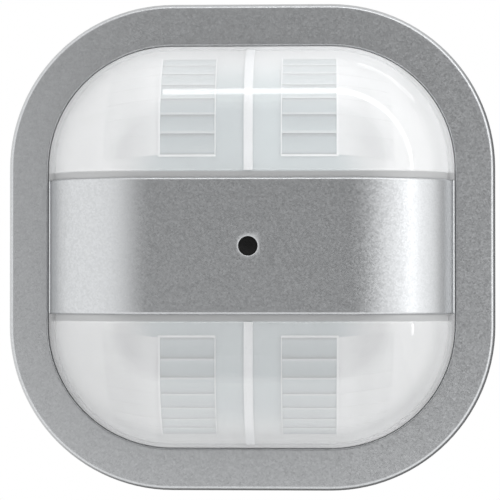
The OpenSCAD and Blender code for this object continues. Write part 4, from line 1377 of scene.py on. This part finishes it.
def screw_blank(shank_r, length, head_r, head_h):
    """A turned screw without its thread: head on top, seat at zero, shank below, a cross in the head."""
    core_r = shank_r - CORE_BITE
    outline = [(0.0, -length), (core_r - TIP_W, -length), (core_r, -length + TIP_H), (core_r, 0.0)]
    outline += [(head_r - HEAD_CHAMFER, 0.0), (head_r, HEAD_CHAMFER), (head_r, HEAD_WALL * head_h)]
    for turn in HEAD_TURNS:
        rise = HEAD_WALL + (1 - HEAD_WALL) * math.sin(turn)
        outline.append((head_r * math.cos(turn) ** HEAD_CURVE, head_h * rise))
    blank = solid("screw_blank", [lathe(outline, HEAD_STEPS)])
    reach = CROSS_REACH * head_r
    for long_x, long_y in ((reach, CROSS_W), (CROSS_W, reach)):
        low = [-long_x, -long_y, head_h * (1 - CROSS_DEPTH)]
        carve(blank, solid("cross", [block(low, [long_x, long_y, head_h + CROSS_ABOVE])]))
    shade(blank.data)
    return blank


print("screw heads turned in", HEAD_STEPS, "steps")

# %% Screws in their places
THREAD_SHORT = 2
CLAW_SCREW = dict(shank_r=1.5, head_r=2.4, head_h=2.0, pitch=0.8)
TERMINAL_SCREW = dict(shank_r=1.5, head_r=2.1, head_h=1.6, pitch=0.8, to_back=True)
SCREWS = {
    "retainer_screws": dict(shank_r=0.9, head_r=1.5, head_h=1.3, pitch=0.55),
    "housing_screws": dict(shank_r=1.25, head_r=2.3, head_h=1.6, pitch=0.7),
    "board_screws": dict(shank_r=1.2, head_r=2.1, head_h=1.5, pitch=0.7),
    **{hand + "_claw_screw": CLAW_SCREW for hand in ("left", "right")},
    **{"terminal_screw_" + wire: TERMINAL_SCREW for wire in ("line", "neutral", "load")},
}


def put_screws(node, shank_r, head_r, head_h, pitch, to_back=False):
    """Replaces a node's screws by threaded ones at the same places."""
    boxes = islands(node)
    length = boxes[0][1][2] - boxes[0][0][2] - head_h
    blank = screw_blank(shank_r, length, head_r, head_h)
    seats = []
    for low, high in boxes:
        seat_z = low[2] + head_h if to_back else high[2] - head_h
        seats.append((*middle((low, high)), seat_z))
    screws = grow(
        "threaded_" + node, threads, seats, Blank=blank, Radius=shank_r * MM,
        Length=(length - THREAD_SHORT * pitch) * MM, Pitch=pitch * MM, Ridge=RIDGE * MM,
        Turn=(math.pi if to_back else 0.0, 0.0, 0.0), Finish=finishes[slot_of[node]],
    )
    bpy.data.objects.remove(blank)
    shade(screws.data)
    dress(screws, frame["nodes"][node]["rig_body"], slot_of[node], node)


for node, sizes in SCREWS.items():
    put_screws(node, **sizes)

# %% [markdown]
# ## Softer edges for the rest
#
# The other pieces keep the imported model's shape, but no moulding or pressing has a knife edge. Each gets a
# copy whose flat faces are merged and whose outward edges are rounded by a few tenths of a millimetre. Inside
# corners stay sharp, because rounding those too would make faces cross where posts stand close together.
# Smooth shading would bend the light over the big flat faces, so their normals are weighted by area. The
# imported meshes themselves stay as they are.

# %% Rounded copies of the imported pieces
SHARP_ABOVE = math.radians(40)
FLAT_WITHIN = math.radians(0.3)
ROUND_STEPS = 3
EDGE_R = {
    "support_plate": 0.18, "lens_retainer": 0.2, "rear_case": 0.4, "front_case": 0.3, "relay": 0.35,
    "film_capacitor": 0.6, "smoothing_capacitor": 0.4, "left_pyro_sensor": 0.25, "right_pyro_sensor": 0.25,
    "time_dial": 0.2, "lux_dial": 0.2, "range_dial": 0.2, "left_claw": 0.15, "right_claw": 0.15,
    "terminal_housing_line": 0.2, "terminal_housing_neutral": 0.2, "terminal_housing_load": 0.2,
    "terminal_cage_line": 0.12, "terminal_cage_neutral": 0.12, "terminal_cage_load": 0.12,
}


def soften(node, edge_r):
    """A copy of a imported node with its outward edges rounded."""
    shape = bmesh.new()
    shape.from_mesh(frame["nodes"][node].data)
    tidy(shape)
    bmesh.ops.dissolve_limit(shape, angle_limit=FLAT_WITHIN, verts=shape.verts, edges=shape.edges)
    outward = [e for e in shape.edges if e.calc_face_angle_signed() > SHARP_ABOVE]
    round_edges(shape, outward, edge_r * MM, ROUND_STEPS)
    mesh = mesh_from(shape, "soft_" + node)
    shade(mesh)
    obj = put("soft_" + node, mesh, finishes[slot_of[node]])
    flatten = obj.modifiers.new("flatten", "WEIGHTED_NORMAL")
    flatten.keep_sharp = True
    return settle(obj)


for node, edge_r in EDGE_R.items():
    dress(soften(node, edge_r), frame["nodes"][node]["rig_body"], slot_of[node], node)

# %% Finishes on the pieces that stay as packed
for node, obj in frame["nodes"].items():
    obj.data.materials.clear()
    obj.data.materials.append(finishes[slot_of[node]])
print("painted", len(frame["nodes"]), "packed nodes")

# %% [markdown]
# ## Marks round the dials
#
# Each dial is read against a row of dark raised marks on the lid. They are spaced evenly round the dial's
# travel, so the tree needs only a count, a sweep and a radius.

# %% Dial marks
MARK_COUNT = 7
MARK_SWEEP = math.radians(234)
MARK_REACH = 4.0 * MM
MARK_SIZE = (0.25 * MM, 0.2 * MM, 0.7 * MM)


def mark_tree():
    tree, given = geometry_tree(
        "dial marks", Count=MARK_COUNT, Sweep=MARK_SWEEP, Reach=MARK_REACH, Size=MARK_SIZE,
        Finish="NodeSocketMaterial",
    )
    step = Wire.node(tree, "GeometryNodeInputIndex")
    turn = given["Sweep"] * (step / (given["Count"] - 1.0) - 0.5)
    line = Wire.node(tree, "GeometryNodeMeshLine", {"Count": given["Count"], "Offset": (0.0, 0.0, 0.0)})
    place = vector(tree, given["Reach"] * turn.math("SINE"), 0.0, given["Reach"] * turn.math("COSINE"))
    mark = Wire.node(tree, "GeometryNodeMeshCube", {"Size": given["Size"]})
    fan = copies(moved(line, place), mark, Rotation=vector(tree, 0.0, turn, 0.0))
    return close_tree(tree, copies(given["Geometry"], fan), given["Finish"])


lid_top = face_box("front_case")[1][2]
dial_places = [(*middle(face_box(node)), lid_top) for node in ("time_dial", "lux_dial", "range_dial")]
mark_slot = slot_of["rear_case"]
marks = grow("dial_marks", mark_tree(), dial_places, Size=MARK_SIZE, Finish=finishes[mark_slot])
dress(marks, "mechanism", mark_slot)

# %% [markdown]
# ## Studio
#
# The photo looks as if it was taken in a white tent, with the dark camera in its opening. A big sphere
# stands for the tent: it lights the part and shows in its reflections, while the camera looks past it at a
# pale floor and a white background. A long curved lamp above and to the right draws the thin white line
# along the lens's shoulder, and a second one behind it draws a short arc near the rim.

# %% The floor and the background
FLOOR_DEPTH = 1.1
FLOOR_R = 5.0
FLOOR_STEPS = 64
FLOOR_PALE = 0.82
FLOOR_FADE = (0.3 * FLOOR_R, FLOOR_R)
WHITE = (1.0, 1.0, 1.0, 1.0)


def white_world():
    world = bpy.data.worlds.new("white")
    world.use_nodes = True
    world.node_tree.nodes["Background"].inputs["Color"].default_value = WHITE
    bpy.context.scene.world = world


def glow(name, strength):
    """A material that only glows: the strength is a number, or a function of the object coordinates."""
    material = bpy.data.materials.new(name)
    material.use_nodes = True
    tree = material.node_tree
    tree.nodes.clear()
    if callable(strength):
        strength = strength(Wire.node(tree, "ShaderNodeTexCoord", outlet="Object"))
    light = Wire.node(tree, "ShaderNodeEmission", {"Strength": strength})
    Wire.node(tree, "ShaderNodeOutputMaterial", {"Surface": light})
    return material


def floor_light(place):
    """Pale under the switch, fading to the white of the background."""
    away = place.vector_math("DISTANCE", (0.0, 0.0, -FLOOR_DEPTH), outlet="Value")
    return FLOOR_PALE + (1 - FLOOR_PALE) * away.ramp(*FLOOR_FADE)


def pale_floor():
    """A round floor that only the camera sees, as far down as a switch is usually fitted."""
    shape = bmesh.new()
    bmesh.ops.create_circle(shape, cap_ends=True, segments=FLOOR_STEPS, radius=FLOOR_R)
    bmesh.ops.translate(shape, verts=shape.verts, vec=(0.0, 0.0, -FLOOR_DEPTH))
    obj = put("floor", mesh_from(shape, "floor"), glow("floor", floor_light))
    for ray in ("diffuse", "glossy", "transmission", "shadow"):
        setattr(obj, "visible_" + ray, False)


white_world()
pale_floor()
bpy.context.scene.view_settings.view_transform = "Standard"
print("floor:", FLOOR_DEPTH, "m below the switch")

# %% The tent
TENT_R = 2.0
TENT_DETAIL = 4
DARK_CENTRE = (-0.012, 0.08)
DARK_EDGE = (0.13, 0.54)
DARK_TALL = 0.25
DARK_LEFT = 0.88
DARK_RIGHT = 0.76
DARK_DEPTH = 1.28
WALL_LIGHT = 1.39
LEFT_LIGHT = 0.18
LEFT_EDGE = (0.1, 0.6)
RIGHT_LIGHT = 0.46
RIGHT_EDGE = (0.24, 0.52)
RIGHT_BACK = (-0.2, 0.2)
BEHIND_DIM = 1.08
BEHIND_EDGE = (-0.1, 0.45)
BEHIND_LEFT = 0.55
LEFT_SLANT = (-0.3, 0.3)
BEHIND_DARK = 0.30
DARK_BACK = (0.7, 0.95)
DARK_SLANT = (0.0, 0.25)


def tent_light(place):
    """Brightness by direction: dark round the camera and right behind the switch, bright at the sides."""
    x, y, z = place.vector_math("NORMALIZE").split()
    aside = x - DARK_CENTRE[0]
    aside = aside * (DARK_LEFT + (DARK_RIGHT - DARK_LEFT) * (aside > 0.0))
    above = z - DARK_CENTRE[1]
    above = above * (1 - DARK_TALL * (above > 0.0))
    opening = (1 - (aside**2 + above**2).math("SQRT").ramp(*DARK_EDGE)) * (y < 0.0)
    left = LEFT_LIGHT * (0.0 - x).ramp(*LEFT_EDGE)
    right = RIGHT_LIGHT * x.ramp(*RIGHT_EDGE) * (1 - y.ramp(*RIGHT_BACK))
    behind = BEHIND_DIM * y.ramp(*BEHIND_EDGE) * (1 - BEHIND_LEFT * (z - x).ramp(*LEFT_SLANT))
    behind = behind + BEHIND_DARK * y.ramp(*DARK_BACK) * (x - z).ramp(*DARK_SLANT)
    return WALL_LIGHT + left + right - DARK_DEPTH * opening - behind


def only_light(name, mesh, strength):
    """A piece of the studio that lights the part but isn't seen by the camera."""
    obj = put(name, mesh, glow(name, strength))
    obj.visible_camera = False


def tent_mesh():
    shape = bmesh.new()
    bmesh.ops.create_icosphere(shape, subdivisions=TENT_DETAIL, radius=TENT_R)
    return mesh_from(shape, "tent")


only_light("tent", tent_mesh(), tent_light)
print("tent:", TENT_R, "m")

# %% The lamps
LAMP_DISTANCE = 1.0
LAMP_STEPS = 40
KEY_ENDS = ((-7, 59, 2.0), (100.5, 48, 4.4))
KEY_LIGHT = 6.0
RIM_ENDS = ((40, 104, 1.0), (76, 104, 1.6))
RIM_LIGHT = 5.0


def lamp_mesh(name, start, end):
    """A strip round the front axis. Ends are given in degrees: roll, angle off the axis, half width."""
    share = np.linspace(0, 1, LAMP_STEPS)
    roll, off, half = [np.radians(low + (high - low) * share) for low, high in zip(start, end)]
    rows = []
    for edge in (off - half, off + half):
        across = np.sin(edge) * LAMP_DISTANCE
        away = -np.cos(edge) * LAMP_DISTANCE
        rows.append(np.column_stack([across * np.cos(roll), away, across * np.sin(roll)]))
    mesh = bpy.data.meshes.new(name)
    mesh.from_pydata(np.concatenate(rows).tolist(), [], grid_faces(2, LAMP_STEPS))
    return mesh


only_light("key_lamp", lamp_mesh("key_lamp", *KEY_ENDS), KEY_LIGHT)
only_light("rim_lamp", lamp_mesh("rim_lamp", *RIM_ENDS), RIM_LIGHT)
print("lamps:", LAMP_DISTANCE, "m away")

# %% [markdown]
# ## The camera
#
# The photo looks almost straight at the face: a little from the right and a hair from below, from about arm's
# length. The face spans 488 of the picture's 500 pixels, which sets the focal length.

# %% The camera
AZIMUTH = 2.8
ELEVATION = -0.9
CAMERA_DISTANCE = 0.45
CLIP_START = 0.01
PICTURE_PX = 500
FACE_PX = 488
FACE_CENTRE_PX = (251.0, 246.9)
SENSOR_MM = 36.0


def photo_camera():
    metre_px = FACE_PX / (2 * face_half * MM)
    data = bpy.data.cameras.new("camera")
    data.sensor_width = SENSOR_MM
    data.lens = metre_px / PICTURE_PX * SENSOR_MM * CAMERA_DISTANCE
    data.clip_start = CLIP_START
    camera = bpy.data.objects.new("camera", data)
    bpy.context.scene.collection.objects.link(camera)
    turn = Matrix.Rotation(math.radians(AZIMUTH), 4, "Z") @ Matrix.Rotation(math.radians(-ELEVATION), 4, "X")
    aim_x = (PICTURE_PX / 2 - FACE_CENTRE_PX[0]) / metre_px
    aim_z = (FACE_CENTRE_PX[1] - PICTURE_PX / 2) / metre_px
    aim = Matrix.Translation((aim_x, -border_h * MM, aim_z))
    stand = aim @ turn @ Matrix.Translation((0, -CAMERA_DISTANCE, 0))
    camera.matrix_world = stand @ Matrix.Rotation(math.pi / 2, 4, "X")
    bpy.context.scene.camera = camera
    print("lens:", round(data.lens, 1), "mm")


photo_camera()
